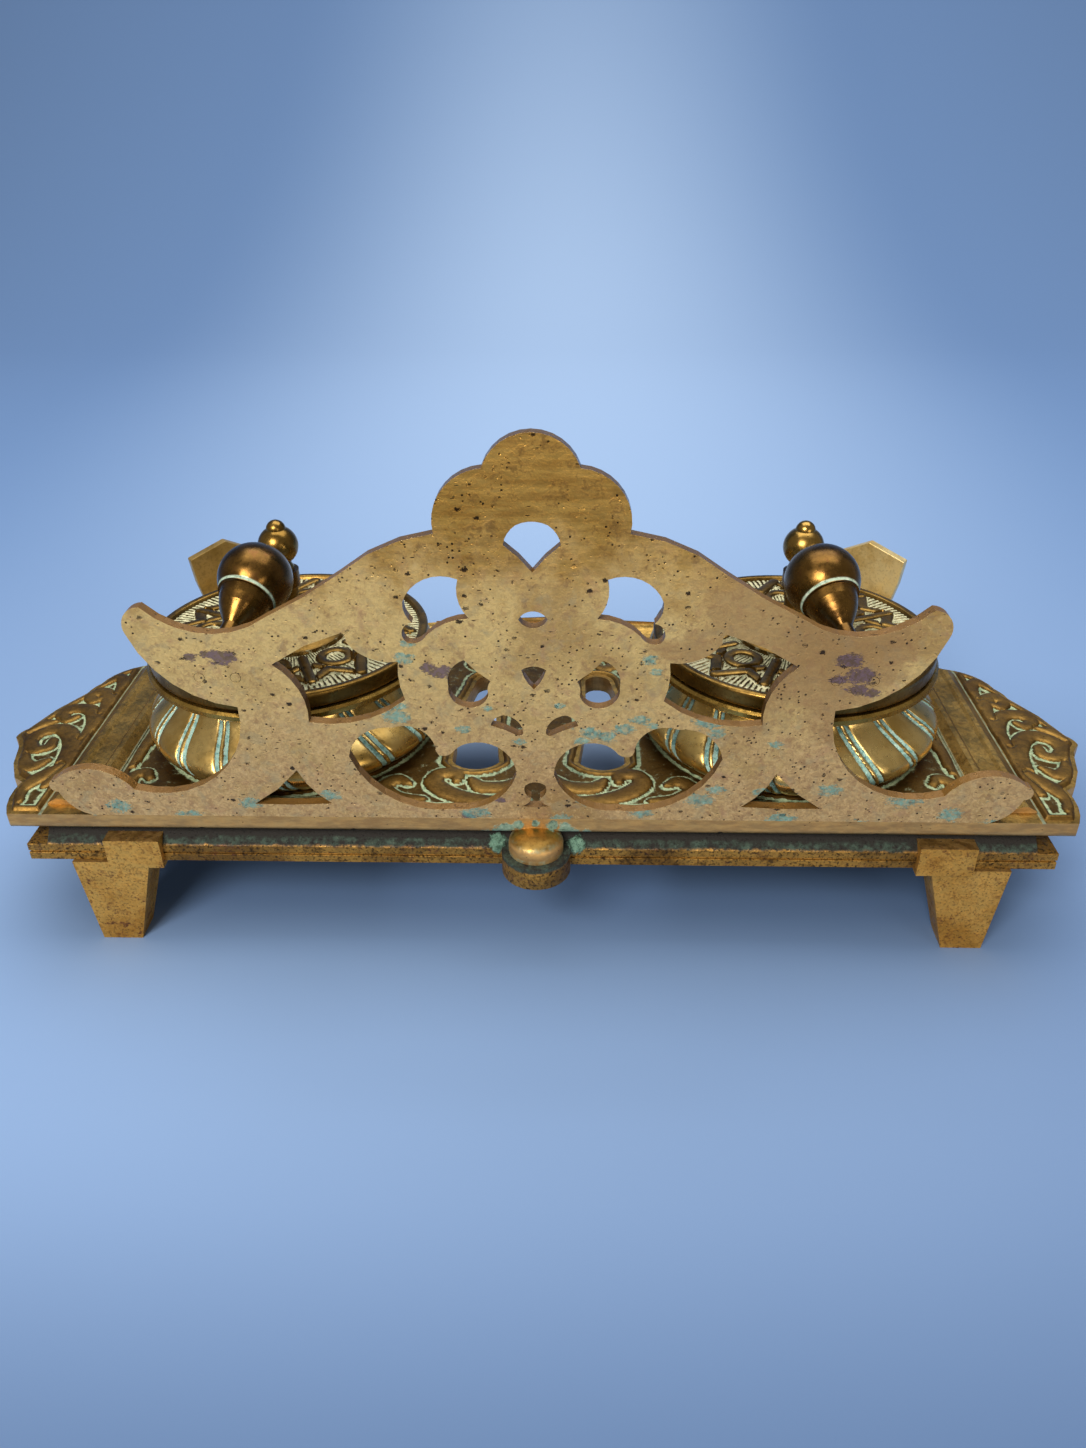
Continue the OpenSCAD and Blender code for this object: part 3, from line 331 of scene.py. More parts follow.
def sanded_brass(name, green_spots, purple_spots):
    """The rough-cast back of the gallery.

    Tan in the middle, pinker and sandier low down, browner at one shoulder, and rubbed to a smooth
    ochre in the top lobe; fine labyrinth grain, pinprick pits, short scratches, and small smears of
    blue-green and purple. The upright walls of its edges and holes are painted brown gold with painted
    shade, painted lighter where they look up, with a painted highlight along the corner.
    """
    material, tree = new_material(name)
    at = place_mm(tree)
    clouds, fine, coarse = (add(tree, "TexNoise", {
        "Vector": at, "Scale": 1 / size, "Detail": detail, "Roughness": harsh, "Distortion": swirl})
        for size, detail, harsh, swirl in ((10, 5, 0.6, 0), (1, 5, 0.62, 0.9), (2.2, 6, 0.7, 0.3)))
    high = add(tree, "SeparateXYZ", at, out="Z")
    wander = add(tree, "Math", high, swing(tree, clouds, 40), operation="ADD")
    low = add(tree, "MapRange", wander, 84, 46, **SMOOTH)
    top = add(tree, "MapRange", wander, 90, 116, **SMOOTH)
    sandy = add(tree, "MapRange", low, 0, 1, 0.22, 0.38)
    browned = spot(tree, at, (-56, BACK, 88), 27, swing(tree, clouds, 2))
    brushed = add(tree, "TexNoise", {
        "Vector": place_mm(tree, (0.13, 1, 1)), "Scale": 1 / 1.6, "Detail": 5, "Roughness": 0.65,
        "Distortion": 0.2})
    ochre = paint(tree, "#B07C2E", ("#DEA84C", add(tree, "MapRange", brushed, 0.3, 0.7, **SMOOTH)),
                  ("#64471E", add(tree, "MapRange", coarse, 0.5, 0.66, **SMOOTH), 0.6))
    colour = paint(
        tree, "#D1B474",
        ("#C1A06C", low),
        ("#AE9058", add(tree, "MapRange", clouds, 0.5, 0.66, **SMOOTH), 0.5),
        ("#99763F", patches(tree, at, 30, 0.5, 0.66), 0.6),
        ("#876748", add(tree, "MapRange", fine, 0.46, 0.58, **SMOOTH), sandy),
        ("#E2C08A", add(tree, "MapRange", fine, 0.44, 0.34, **SMOOTH), sandy),
        ("#86684A", add(tree, "MapRange", coarse, 0.52, 0.66, **SMOOTH), 0.55),
        ("#A1936F", patches(tree, at, 4.5, 0.52, 0.68, 0, 0.45, 4, 0.6, 0.5)),
        ("#A87F60", patches(tree, at, 5.5, 0.46, 0.32, 0, 0.4, 5, 0.65, 0.5)),
        ("#97744A", browned, 0.6),
        (ochre, top, 0.88),
        ("#7E5F49", add(tree, "MapRange", brushed, 0.6, 0.72, **SMOOTH), 0.2))
    # Pinprick pits, more of them where the cast skin is open, short level scratches and ragged craters
    pricks = add(tree, "Math", pinholes(tree, at, 1.25, 0.24, 0.14),
                 patches(tree, at, 3.2, 0.48, 0.6, rough=0.6), operation="MULTIPLY")
    cuts = add(tree, "Math", pinholes(tree, place_mm(tree, (0.3, 1, 1.1)), 1.5, 0.11, 0.06),
               patches(tree, at, 7, 0.47, 0.56, detail=2), operation="MULTIPLY")
    apart = add(tree, "TexVoronoi", {"Vector": place_mm(tree, (0.7, 1, 1)), "Scale": 1 / 3.2})
    apart = add(tree, "Math", apart, swing(tree, fine, 0.5), operation="ADD")
    craters = add(tree, "Math", add(tree, "MapRange", apart, 0.16, 0.08, **SMOOTH),
                  patches(tree, at, 9, 0.42, 0.52, detail=2), operation="MULTIPLY")
    pit = either(tree, pricks, cuts, craters)
    colour = paint(tree, colour, ("#22140A", pit, 0.95))
    # Smears, wider than high
    flat_at = place_mm(tree, (0.75, 1, 1.3))
    ragged = add(tree, "TexNoise", {"Vector": flat_at, "Scale": 1 / 1.5, "Detail": 6, "Roughness": 0.8})
    ragged = swing(tree, ragged, 3.2)
    stains = [either(tree, *[spot(tree, flat_at, (x * 0.75, BACK, z * 1.3), radius, ragged)
                             for x, z, radius in group]) for group in (green_spots, purple_spots)]
    purple = add(tree, "Math", stains[1], 0.85, operation="MULTIPLY")
    plum = paint(tree, "#2C1E22", ("#4A3A50", add(tree, "MapRange", fine, 0.4, 0.6, **SMOOTH)))
    loose = add(tree, "Math", patches(tree, flat_at, 3.4, 0.67, 0.73, detail=6, rough=0.75),
                add(tree, "MapRange", high, 70, 56, **SMOOTH), operation="MULTIPLY")
    green = add(tree, "Math", either(tree, loose, stains[0]),
                patches(tree, at, 0.8, 0.36, 0.58, 0.45, 0.9, 4, 0.7), operation="MULTIPLY")
    growth = crust(tree, at, ("#3E6863", "#5E8A80", "#90AEA0"))
    colour = paint(tree, colour, (plum, purple), (growth, green))
    covered = either(tree, green, purple)
    metal = add(tree, "MapRange", top, 0, 1, 0.55, 0.85)
    bare = add(tree, "Math", 1.0, covered, operation="SUBTRACT", use_clamp=True)
    metal = add(tree, "Math", metal, bare, operation="MULTIPLY")
    roughness = add(tree, "Math", add(tree, "MapRange", coarse, 0.35, 0.65, 0.5, 0.62, **SMOOTH),
                    add(tree, "Math", top, 0.16, operation="MULTIPLY"), operation="SUBTRACT")
    # Walls of its edges and holes: painted shade, painted light where they look up, and a painted
    # highlight along the corner
    flat = add(tree, "Math", facing(tree, "Y"), operation="ABSOLUTE")
    side = add(tree, "MapRange", flat, 0.93, 0.75, **SMOOTH)
    level = add(tree, "MapRange", facing(tree, "Z"), 0.1, 0.8, **SMOOTH)
    wall_painted_shading = paint(tree, "#54360F", ("#866230", level),
                  ("#FFE2A0", add(tree, "MapRange", flat, 0.2, 0.55, **SMOOTH)))
    colour = paint(tree, colour, (wall_painted_shading, side))
    metal = add(tree, "Math", metal, add(tree, "MapRange", side, 0, 1, 1, 0.75), operation="MULTIPLY")
    smoother = add(tree, "Math", side, 0.2, operation="MULTIPLY")
    roughness = add(tree, "Math", roughness, smoother, operation="SUBTRACT", use_clamp=True)
    height = add(tree, "Math", sandy, 1.3, operation="MULTIPLY")
    height = add(tree, "Math", fine, height, operation="MULTIPLY")
    for part, share in ((pit, -1.2), (coarse, 0.8), (covered, 0.3)):
        part = add(tree, "Math", part, share, operation="MULTIPLY")
        height = add(tree, "Math", height, part, operation="ADD")
    return finish_metal(material, tree, colour, roughness, metal, height, 0.24)


def glass(name):
    """Pressed glass: a pale green tint and a faint waviness."""
    material, tree = new_material(name)
    at = place_mm(tree)
    waves = add(tree, "TexNoise", {"Vector": at, "Scale": 1 / 6, "Detail": 2, "Roughness": 0.55})
    shader = add(tree, "BsdfPrincipled", {
        "Base Color": linear("#DDEEE6"), "Roughness": 0.06, "IOR": 1.5, "Transmission Weight": 0.95,
        "Normal": add(tree, "Bump", {"Height": waves, "Strength": 0.5, "Distance": 0.1 * MM})})
    add(tree, "OutputMaterial", {"Surface": shader})
    return material


# Verdigris and purple-brown stains on the gallery's back: x, height and radius
GREEN_SPOTS = (
    (30.8, 67, 2.6), (30.1, 69.6, 1.6), (27, 85.2, 1.4), (27.9, 81.6, 1.8), (16.2, 63.7, 1.3),
    (10.4, 69, 1), (-7.2, 65.2, 1.6), (-12.6, 62.9, 2.2), (-16, 61.9, 2), (-19.9, 64, 2),
    (-23.6, 66.4, 1.8), (-26.3, 64.9, 1.2), (-38.4, 66, 2.6), (-40.6, 63.1, 1.8), (-10.6, 60.8, 1.4),
    (-5.7, 69.9, 1), (-12.2, 44.6, 2.4), (-38.1, 44.8, 2.6), (-41.5, 47.7, 1.8), (3.3, 60.4, 1.2),
    (40.6, 81.8, 1), (-53.8, 60.1, 1.4), (-25, 81.5, 1.6), (-26.2, 78.5, 1.2), (-51.7, 47.2, 1.6),
    (47.9, 45.3, 2), (67.1, 42.8, 2.2), (82.1, 38.9, 2.6), (98.3, 41.6, 2.4), (-67.5, 48, 2.2),
    (-85, 45.3, 3), (-96, 41.2, 2.4), (-105.7, 38.4, 2), (75, 52.1, 0.9), (14.2, 40.8, 2.6),
    (-5.7, 38.7, 2.4), (-24.4, 41.3, 2.2), (-57.1, 39.3, 2.8), (-75.8, 37.8, 2.4))
DARK_SPOTS = (
    (20.3, 78.2, 2.2), (23.1, 79.2, 1.6), (74.4, 81.6, 1.4), (67.4, 81.6, 2.6), (70.6, 82.1, 1.4),
    (-67.7, 81.5, 2.4), (-70.5, 77.8, 2.8), (-70.1, 74.4, 2), (-73.3, 73.6, 1.4), (-66, 76.8, 1.8),
    (15.9, 39.6, 1.4), (8.3, 44.3, 1.2))
# Back face of the gallery: sand-cast, dull tan and pinkish; its walls carry painted shade and a painted
# highlight along the corner
gallery_brass = sanded_brass("gallery_brass", GREEN_SPOTS, DARK_SPOTS)
# Tray, sand cast with relief; its upright edge is rubbed pinkish tan and verdigris grows under it
tray_brass = brass(
    "tray_brass", ("#46331A", "#8C6D33", "#B18E4B"), rough=(0.3, 0.5), tarnish=0.55, pits=0.3,
    wall=("#A88252", "#CBA062"), green=0.1, bands=[(31.0, 31.9, 0.8, None), (34.2, 34.9, 0.5, None)],
    lines=(104.8, 118.2), deposit=("#43594A", "#738A76", "#B2BCA2"),
    spots=[(x, BACK, z, radius) for x, z, radius in (
        (8.6, 34.4, 2.6), (-8.6, 34.4, 2.8), (0, 37.6, 1.2), (4, 37.2, 1.6), (-4, 37.2, 1.6),
        (7, 36, 2), (-7, 36, 2.2), (12, 33.8, 2.2), (-12, 33.8, 2.2), (16, 33.6, 1.6),
        (-16, 33.6, 1.6))])
# Scrolls and beads of the tray: worn brown gold on top, dull dark ground, verdigris along their feet
relief_brass = brass(
    "relief_brass", ("#2C1F0C", "#6A4E24", "#876731"), rough=(0.36, 0.55), pits=0.15,
    grooves=0.95, deposit=("#5C7258", "#98A884", "#CFCFA8"), bump=0.08)
# Base: coarse cast, brown gold with red-brown spots; its cove under the tray is painted near black as
# shade, with verdigris in it
base_brass = brass(
    "base_brass", ("#241806", "#77541F", "#AC8038"), rough=(0.36, 0.6), metallic=0.7, tarnish=0.95,
    pits=0.95, pit_size=1.1, green=0.2, rust=0.6, sand=0.9, bump=0.5,
    # The first band paints shade in the cove under the tray; the other two are verdigris
    bands=[(29.8, 36, 1.0, "#120B02"), (33.8, 36, 0.35, None), (29.9, 31.2, 0.25, None)],
    spots=[(9.5, BACK - 1, 31, 2.6), (-9.5, BACK - 1, 31, 2.8)],
    deposit=("#34503F", "#648672", "#9DB79C"))
# Feet: as coarse, brighter and redder, their upward faces painted dark as shade under the base's edge
foot_brass = brass(
    "foot_brass", ("#5A3814", "#BE8634", "#DCA650"), rough=(0.36, 0.6), metallic=0.75, tarnish=0.55,
    pits=0.95, pit_size=1.1, green=0.3, rust=0.95, sand=0.45, ledge=("#2E2110", "#5E4826"), bump=0.3)
# Pot bodies: polished lobes, blue-green left in the narrow grooves
pot_brass = brass(
    "pot_brass", ("#765620", "#BE984E", "#DDBD76"), rough=(0.24, 0.38), tarnish=0.12, pits=0.05,
    sand=0.06, grooves=0.97, deposit=("#5E8E8C", "#9CBFB6", "#D6DEC8"), bump=0.03)
# Collars: turned and polished, a little browned
collar_brass = brass(
    "collar_brass", ("#5A4218", "#947233", "#BB974B"), rough=(0.2, 0.36), pits=0.1, bump=0.05)
# Lids: rubbed bars over a ribbed ground with a cream deposit between the ribs
lid_brass = brass(
    "lid_brass", ("#32230B", "#634A1E", "#8A6B34"), rough=(0.26, 0.45), pits=0.1,
    grooves=0.95, deposit=CREAM, bump=0.05)
# Middle of the right arm's ball, and the direction of its neck
BALL, BALL_AXIS = (66.56, 29.33, 86.56), (-0.2109, -0.8977, 0.3894)
# Arms and brackets: turned and polished, browned, a green line at the ball's seam
turned_brass = brass(
    "turned_brass", ("#241606", "#503819", "#785828"), rough=(0.2, 0.36), tarnish=0.4, pits=0.25,
    pit_size=1.0, sand=0.15, rust=0.35, bump=0.02, deposit=("#6E8A76", "#B2C6B0", "#E4EAD4"),
    seam=(BALL, BALL_AXIS))
# Finials: the same, lighter
finial_brass = brass(
    "finial_brass", ("#3A290F", "#755826", "#9A7A3E"), rough=(0.2, 0.34), pits=0.15,
    sand=0.1, bump=0.02)
# Pen rests: plain sheet; the left rest keeps this copy, its tones raised as painted light
rest_brass = brass(
    "rest_brass", ("#94763E", "#D2B068", "#F0DCA4"), rough=(0.34, 0.5), metallic=0.7, tarnish=0.25,
    pits=0.15, bump=0.05)
# The right pen rest: the same sheet in darker tones, a copy with painted shade
shaded_rest_brass = brass(
    "shaded_rest_brass", ("#5E4822", "#97793C", "#B8995A"), rough=(0.34, 0.5), metallic=0.7,
    pits=0.15, bump=0.05)
# Screws, rivets and nuts out of sight: dull and green
screw_brass = brass(
    "screw_brass", ("#3E2C12", "#755628", "#967440"), rough=(0.4, 0.6), tarnish=0.5, pits=0.4,
    green=0.5)
liner_glass = glass("liner_glass")
MATERIALS = {
    "gallery_brass": gallery_brass, "tray_brass": tray_brass, "base_brass": base_brass,
    "pot_brass": pot_brass, "lid_brass": lid_brass, "turned_brass": turned_brass,
    "rest_brass": rest_brass, "screw_brass": screw_brass, "liner_glass": liner_glass}


# ---- CAD parts that keep their shape ----
def dress(node, material, edge=0.0):
    """Gives a CAD node its material, and rounds its edges by edge millimetres."""
    item = frame["nodes"][node]
    item.data.materials.clear()
    item.data.materials.append(material)
    item.modifiers.clear()
    if edge:
        weld = item.modifiers.new("weld", "WELD")
        weld.merge_threshold = 0.005 * MM
        bevel = item.modifiers.new("bevel", "BEVEL")
        bevel.width = edge * MM
        bevel.segments = 3
        bevel.limit_method = "ANGLE"
        bevel.angle_limit = math.radians(40)
        bevel.harden_normals = True


# How far the worn edges are rounded, in millimetres
EDGES = {"gallery": 0.45, "tray": 0.7, "base_plate": 0.35, "pen_rest_left": 0.4, "pen_rest_right": 0.4}
FOOT_EDGE = 0.4
for part in frame["record"]["subparts"]:
    dress(part["node"], MATERIALS[part["material_slot"]], EDGES.get(part["node"], 0.0))
for side in SIDES.values():
    dress("pot_collar_" + side, collar_brass)
    dress("finial_" + side, finial_brass)
# The right pen rest takes the darker copy with painted shade
dress("pen_rest_right", shaded_rest_brass, EDGES["pen_rest_right"])
for end in ("back", "front"):
    for side in SIDES.values():
        dress("foot_%s_%s" % (end, side), foot_brass, FOOT_EDGE)
# The rivets' ends are filed flush with the gallery's back and look like it
dress("bracket_rivets", gallery_brass)


# ---- Surfaces ----
def surface(name, grid, material, replaces=None, body="stand", rings=False, keep=None,
            ground=None, sharp=40):
    """A smooth sheet through a grid of points in millimetres.

    rings joins the last column to the first, keep marks the points whose faces stay, and ground is
    each point's share of the recessed ground between the ornament.
    """
    rows, columns = grid.shape[:2]
    index = np.arange(rows * columns).reshape(rows, columns)
    if rings:
        index = np.hstack([index, index[:, :1]])
    quads = np.stack([index[:-1, :-1], index[:-1, 1:], index[1:, 1:], index[1:, :-1]], -1)
    quads = quads.reshape(-1, 4)
    if keep is not None:
        quads = quads[keep.reshape(-1)[quads].all(1)]
    used, quads = np.unique(quads, return_inverse=True)
    quads = quads.reshape(-1, 4)
    mesh = bpy.data.meshes.new(name)
    mesh.from_pydata(grid.reshape(-1, 3)[used] * MM, [], quads.tolist())
    mesh.polygons.foreach_set("use_smooth", np.ones(len(quads), bool))
    if ground is not None:
        layer = mesh.attributes.new("ground", "FLOAT", "POINT")
        layer.data.foreach_set("value", ground.reshape(-1)[used].astype(np.float32))
    mesh.set_sharp_from_angle(angle=math.radians(sharp))
    mesh.materials.append(material)
    item = bpy.data.objects.new(name, mesh)
    bpy.context.scene.collection.objects.link(item)
    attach(item, body)
    if replaces:
        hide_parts(*replaces)
    return item


def turn(columns):
    """The angles of one turn in equal steps, without the last."""
    return np.linspace(0, 2 * np.pi, columns, endpoint=False)


def resample(points, step):
    """A profile line with a point about every step millimetres, corners kept."""
    points = np.asarray(points, float)
    out = [points[:1]]
    for first, last in zip(points[:-1], points[1:]):
        count = max(1, int(np.ceil(np.hypot(*(last - first)) / step)))
        out.append(first + (last - first) * np.linspace(0, 1, count + 1)[1:, None])
    return np.vstack(out)


def stroke_height(x, y, strokes, rise):
    """Height of rounded bars over a flat ground.

    Each stroke is (points, half widths). Across it the height is rise times the fourth root of one less
    the squared share of the half width, a flat top with steep round sides. A later stroke lies over an
    earlier one, which sinks beside it. The second result is the distance to the nearest stroke's edge,
    negative on a stroke.
    """
    cut, sink, far = 0.35, 0.35, 9.0
    height = np.zeros_like(x)
    clear = np.full(x.shape, far)
    for points, half in strokes:
        points, half = np.asarray(points, float), np.asarray(half, float)
        reach = half.max() + 2
        near = np.flatnonzero((x > points[:, 0].min() - reach) & (x < points[:, 0].max() + reach)
                              & (y > points[:, 1].min() - reach) & (y < points[:, 1].max() + reach))
        if not len(near):
            continue
        px, py = x.ravel()[near][:, None], y.ravel()[near][:, None]
        a, step = points[:-1], np.diff(points, axis=0)
        length = np.maximum((step ** 2).sum(1), 1e-9)
        t = np.clip(((px - a[:, 0]) * step[:, 0] + (py - a[:, 1]) * step[:, 1]) / length, 0, 1)
        away = np.hypot(px - a[:, 0] - t * step[:, 0], py - a[:, 1] - t * step[:, 1])
        wide = half[:-1] + t * np.diff(half)
        best = (away / wide).argmin(1)
        pick = np.arange(len(near))
        away, wide = away[pick, best], wide[pick, best]
        bar = rise * np.clip(1 - (away / wide) ** 2, 0, 1) ** 0.25
        flat = height.ravel()
        old = flat[near]
        flat[near] = np.where(away < wide, bar, np.where(away < wide + cut, old * sink, old))
        gaps = clear.ravel()
        gap = away - wide
        gaps[near] = np.where(gap < 0, np.maximum(gap, -0.6), np.minimum(gaps[near], gap))
    return height, clear


# ---- Pots ----
# Radius at the belly, foot and neck, the belly's share of the height, height of the body
POT_R, FOOT_R, NECK_R, BELLY, BODY_H = 38.8, 33.3, 28.8, 0.34, 18.0
# Bore for the liner, the floor under it and the hole for the bolt
BORE_R, FLOOR_H, BOLT_R = 26.0, 2.5, 2.2
# Lobes, the degrees that each turns over the height, points round each, and points up the wall
LOBES, LOBE_TURN, LOBE_COLUMNS, WALL_ROWS = 18, 15.0, 28, 49


def body_radius(t):
    """Smooth radius at a share t of the body's height: out to the belly, then in to the neck."""
    over = (np.maximum(t, BELLY) - BELLY) / (1 - BELLY)
    low = FOOT_R + (POT_R - FOOT_R) * np.sin(np.pi / 2 * np.minimum(t, BELLY) / BELLY)
    high = NECK_R + (POT_R - NECK_R) * (0.5 + 0.5 * np.cos(np.pi * over))
    return np.where(t < BELLY, low, high)


def swirled_pot(side):
    """A squat body with slanting round lobes.

    The radius at height t and angle a is the smooth body's, less a groove profile of the phase: two
    narrow grooves with a fine bead between them at each lobe's edge, then the lobe's round back. The
    phase turns with the height, which slants the lobes, and the grooves fade out at foot and neck.
    """
    t = np.linspace(0, 1, WALL_ROWS)[:, None]
    a = turn(LOBES * LOBE_COLUMNS)[None, :]
    phase = (np.degrees(a) + LOBE_TURN * t) * LOBES / 360
    away = np.abs(phase - np.round(phase)) * 2 * np.pi * POT_R / LOBES
    bead = -0.55 + 0.5 * np.sqrt(np.clip(1 - (away / 0.85) ** 2, 0, 1))
    cut = -0.9 * np.exp(-((away - 1.3) / 0.46) ** 2)
    lobe = np.clip((away - 1.5) / 4.2, 0, 1)
    profile = cut + np.where(away < 1.0, bead, -0.6 + 0.6 * np.sqrt(np.clip(1 - (1 - lobe) ** 2, 0, 1)))
    fade = np.sin(np.pi * t) ** 0.4
    radius = body_radius(t) + profile * fade
    wall = np.stack([radius * np.cos(a), radius * np.sin(a), BODY_H * t + 0 * a], -1)
    ground = np.clip(1.7 * np.exp(-((away - 1.3) / 0.62) ** 2), 0, 1) * np.clip(fade * 1.3, 0, 1)
    rest = resample([(NECK_R, BODY_H), (BORE_R, BODY_H), (BORE_R, FLOOR_H), (BOLT_R, FLOOR_H),
                     (BOLT_R, 0), (FOOT_R, 0)], 6)
    ring = np.stack([rest[:, :1] * np.cos(a), rest[:, :1] * np.sin(a), rest[:, 1:] + 0 * a], -1)
    grid = np.vstack([wall, ring[1:]]) + (side * POT_X, POT_Y, DECK)
    ground = np.vstack([ground, np.zeros(ring[1:].shape[:2])])
    name = SIDES[side]
    surface(name + "_pot_body", grid[::-1], pot_brass, ["pot_" + name], rings=True,
            ground=ground[::-1])


for side in SIDES:
    swirled_pot(side)


# ---- Lids ----
# Height of the lid's underside, its radius, thickness, the rim's width, the boss and the rod's hole
LID_Z, LID_R, LID_T, RIM, BOSS_R, BOSS_H, ROD_R = 62.6, 35.3, 4.2, 2.0, 14.0, 2.7, 1.62
# Z of the band between boss and rim, and its outer radius
BAND_Z, BAND_R = LID_T - 0.9, LID_R - RIM - 0.5
# Inner and outer radius of the locating ring under the lid, and how far it hangs down
RING_IN, RING_OUT, RING_H = 18.9, 20.5, 1.8
# Points round the lid and across its band, and ribs round it
LID_COLUMNS, BAND_ROWS, LID_RIBS = 750, 74, 150
STRAPS_ROUND = 8


def polar(points):
    """Points given as (angle in degrees, radius), as x and y."""
    points = np.asarray(points, float)
    a = np.radians(points[:, 0])
    return np.stack([points[:, 1] * np.cos(a), points[:, 1] * np.sin(a)], 1)


def strapwork():
    """Eight repeats of interlaced bars: a zigzag at the rim, a spoke, a bowed bar and a ring."""
    strokes, reach = [], 19.5
    for k in range(STRAPS_ROUND):
        base = 360 / STRAPS_ROUND * k
        spoke = polar([(base + 22.5, 29), (base + 22.5, 17)])
        zigzag = polar([(base, 31.2), (base + 11, 25), (base + 22.5, 29), (base + 34, 25),
                        (base + 45, 31.2)])
        bowed = polar([(base + 22.5 + reach * s, 21 + 7.5 * abs(s) ** 1.8)
                       for s in np.linspace(-1, 1, 18)])
        ring = polar([(base, 20.4)]) + 3.6 * polar([(angle, 1) for angle in np.linspace(0, 360, 28)])
        for line, half in ((ring, 1.35), (bowed, 1.35), (zigzag, 1.45), (spoke, 1.35)):
            strokes.append((line, np.full(len(line), half)))
    return strokes


LID_STRAPS = strapwork()


def lid_piece(side):
    """A turned lid whose flat band between boss and rim carries strapwork over a hatched ground.

    The profile is turned round the lid's axis. In the band each point rises by the straps' rounded
    height, or by fine ribs that run out from the middle where no strap is.
    """
    a = turn(LID_COLUMNS)
    # The boss is a cap of a ball; the turned knob on it takes the finial's rod
    ball = (BOSS_R ** 2 + BOSS_H ** 2) / (2 * BOSS_H)
    top = LID_T + BOSS_H
    boss = [(r, top - ball + math.sqrt(ball * ball - r * r)) for r in np.linspace(7.0, BOSS_R, 12)]
    above = resample([(ROD_R, -RING_H), (ROD_R, top + 9.8), (3.3, top + 9.8), (3.5, top + 9.6),
                      (3.5, top + 8.6), (3.0, top + 5), (3.4, top + 3.4), (4.0, top + 2),
                      (4.8, top + 0.8), (5.8, top - 0.3)], 2.4)
    band = np.stack([np.linspace(BOSS_R, BAND_R, BAND_ROWS), np.full(BAND_ROWS, BAND_Z)], 1)
    rim = resample([(BAND_R, BAND_Z), (LID_R - RIM, LID_T - 0.15), (LID_R - RIM + 0.2, LID_T),
                    (LID_R - 0.6, LID_T), (LID_R - 0.2, LID_T - 0.2), (LID_R, LID_T - 0.6),
                    (LID_R, 0.6), (LID_R - 0.2, 0.2), (LID_R - 0.6, 0)], 0.8)
    under = resample([(LID_R - 0.6, 0), (RING_OUT, 0), (RING_OUT, -RING_H), (RING_IN, -RING_H),
                      (RING_IN, 0), (ROD_R, 0)], 6)
    profile = np.vstack([above, boss, band[1:], rim[1:], under[1:]])
    start = len(above) + len(boss)
    r = profile[:, :1] + 0 * a
    z = profile[:, 1:] + 0 * a
    x, y = r * np.cos(a), r * np.sin(a)
    part = slice(start, start + len(band) - 1)
    height, clear = stroke_height(x[part], y[part], LID_STRAPS, 1.0)
    ribs = 0.5 + 0.5 * np.cos(a * LID_RIBS)
    bare = np.clip(1 - height / 0.25, 0, 1)
    ends = np.clip(np.minimum(r[part] - BOSS_R, BAND_R - r[part]) / 0.8, 0, 1)
    z[part] += (height + 0.28 * ribs * bare) * ends
    ground = np.zeros_like(z)
    foot = np.exp(-((clear - 0.1) / 0.3) ** 2)
    ground[part] = np.maximum(bare * (0.42 + 0.5 * (1 - ribs)), 0.8 * foot)
    ground[start - 1:start + 1] = 0.5
    name = SIDES[side]
    grid = np.stack([x, y, z], -1) + (side * POT_X, POT_Y, LID_Z)
    surface(name + "_lid_cover", grid, lid_brass, ["lid_" + name], body=name + "_lid",
            rings=True, ground=ground)


for side in SIDES:
    lid_piece(side)


# ---- Relief ----
def bow(corners, count=9):
    """Points along corners joined by arcs. A corner's third number is its arc's rise to the left."""
    corners = np.asarray(corners, float)
    out = []
    for (x0, y0, rise), (x1, y1, _) in zip(corners, np.roll(corners, -1, 0)):
        dx, dy = x1 - x0, y1 - y0
        t = np.linspace(0, 1, count + 1)[:-1] if abs(rise) > 0.05 else np.zeros(1)
        chord = math.hypot(dx, dy)
        if abs(rise) > 0.05:
            radius = (chord * chord / 4 + rise * rise) / (2 * abs(rise))
            along = (t - 0.5) * chord
            up = np.sqrt(np.maximum(radius * radius - along * along, 0)) - (radius - abs(rise))
            up = up * math.copysign(1, rise)
        else:
            up = 0 * t
        out.append(np.stack([x0 + dx * t - dy / chord * up, y0 + dy * t + dx / chord * up], 1))
    return np.vstack(out)


def both(half, middle_rise):
    """A closed outline from one half's corners and their mirror, joined across the middle by an arc."""
    half = [list(c) for c in half]
    last = half[-1]
    mirrored = []
    for i in range(len(half) - 1, -1, -1):
        rise = half[i - 1][2] if i else middle_rise
        mirrored.append([-half[i][0], half[i][1], rise])
    last[2] = 0
    return half + mirrored


def margin(x, y, outline):
    """Distance from each point to a closed outline, positive inside it."""
    away = np.full(x.shape, 1e9)
    inside = np.zeros(x.shape, bool)
    for (x0, y0), (x1, y1) in zip(outline, np.roll(outline, -1, 0)):
        dx, dy = x1 - x0, y1 - y0
        t = np.clip(((x - x0) * dx + (y - y0) * dy) / max(dx * dx + dy * dy, 1e-9), 0, 1)
        away = np.minimum(away, (x - x0 - t * dx) ** 2 + (y - y0 - t * dy) ** 2)
        if dy:
            inside ^= ((y0 > y) != (y1 > y)) & (x < x0 + (y - y0) / dy * dx)
    away = np.sqrt(away)
    return np.where(inside, away, -away)


def curve_through(points, per_span=8):
    """A smooth line through points, with their other columns carried along (Catmull-Rom)."""
    p = np.asarray(points, float)
    p = np.vstack([2 * p[0] - p[1], p, 2 * p[-1] - p[-2]])
    t = np.linspace(0, 1, per_span, endpoint=False)[:, None]
    out = []
    for a, b, c, d in zip(p[:-3], p[1:-2], p[2:-1], p[3:]):
        out.append(b + (c - a) * t / 2 + (2 * a - 5 * b + 4 * c - d) * t ** 2 / 2
                   + (3 * b - a - 3 * c + d) * t ** 3 / 2)
    return np.vstack(out + [p[-2:-1]])


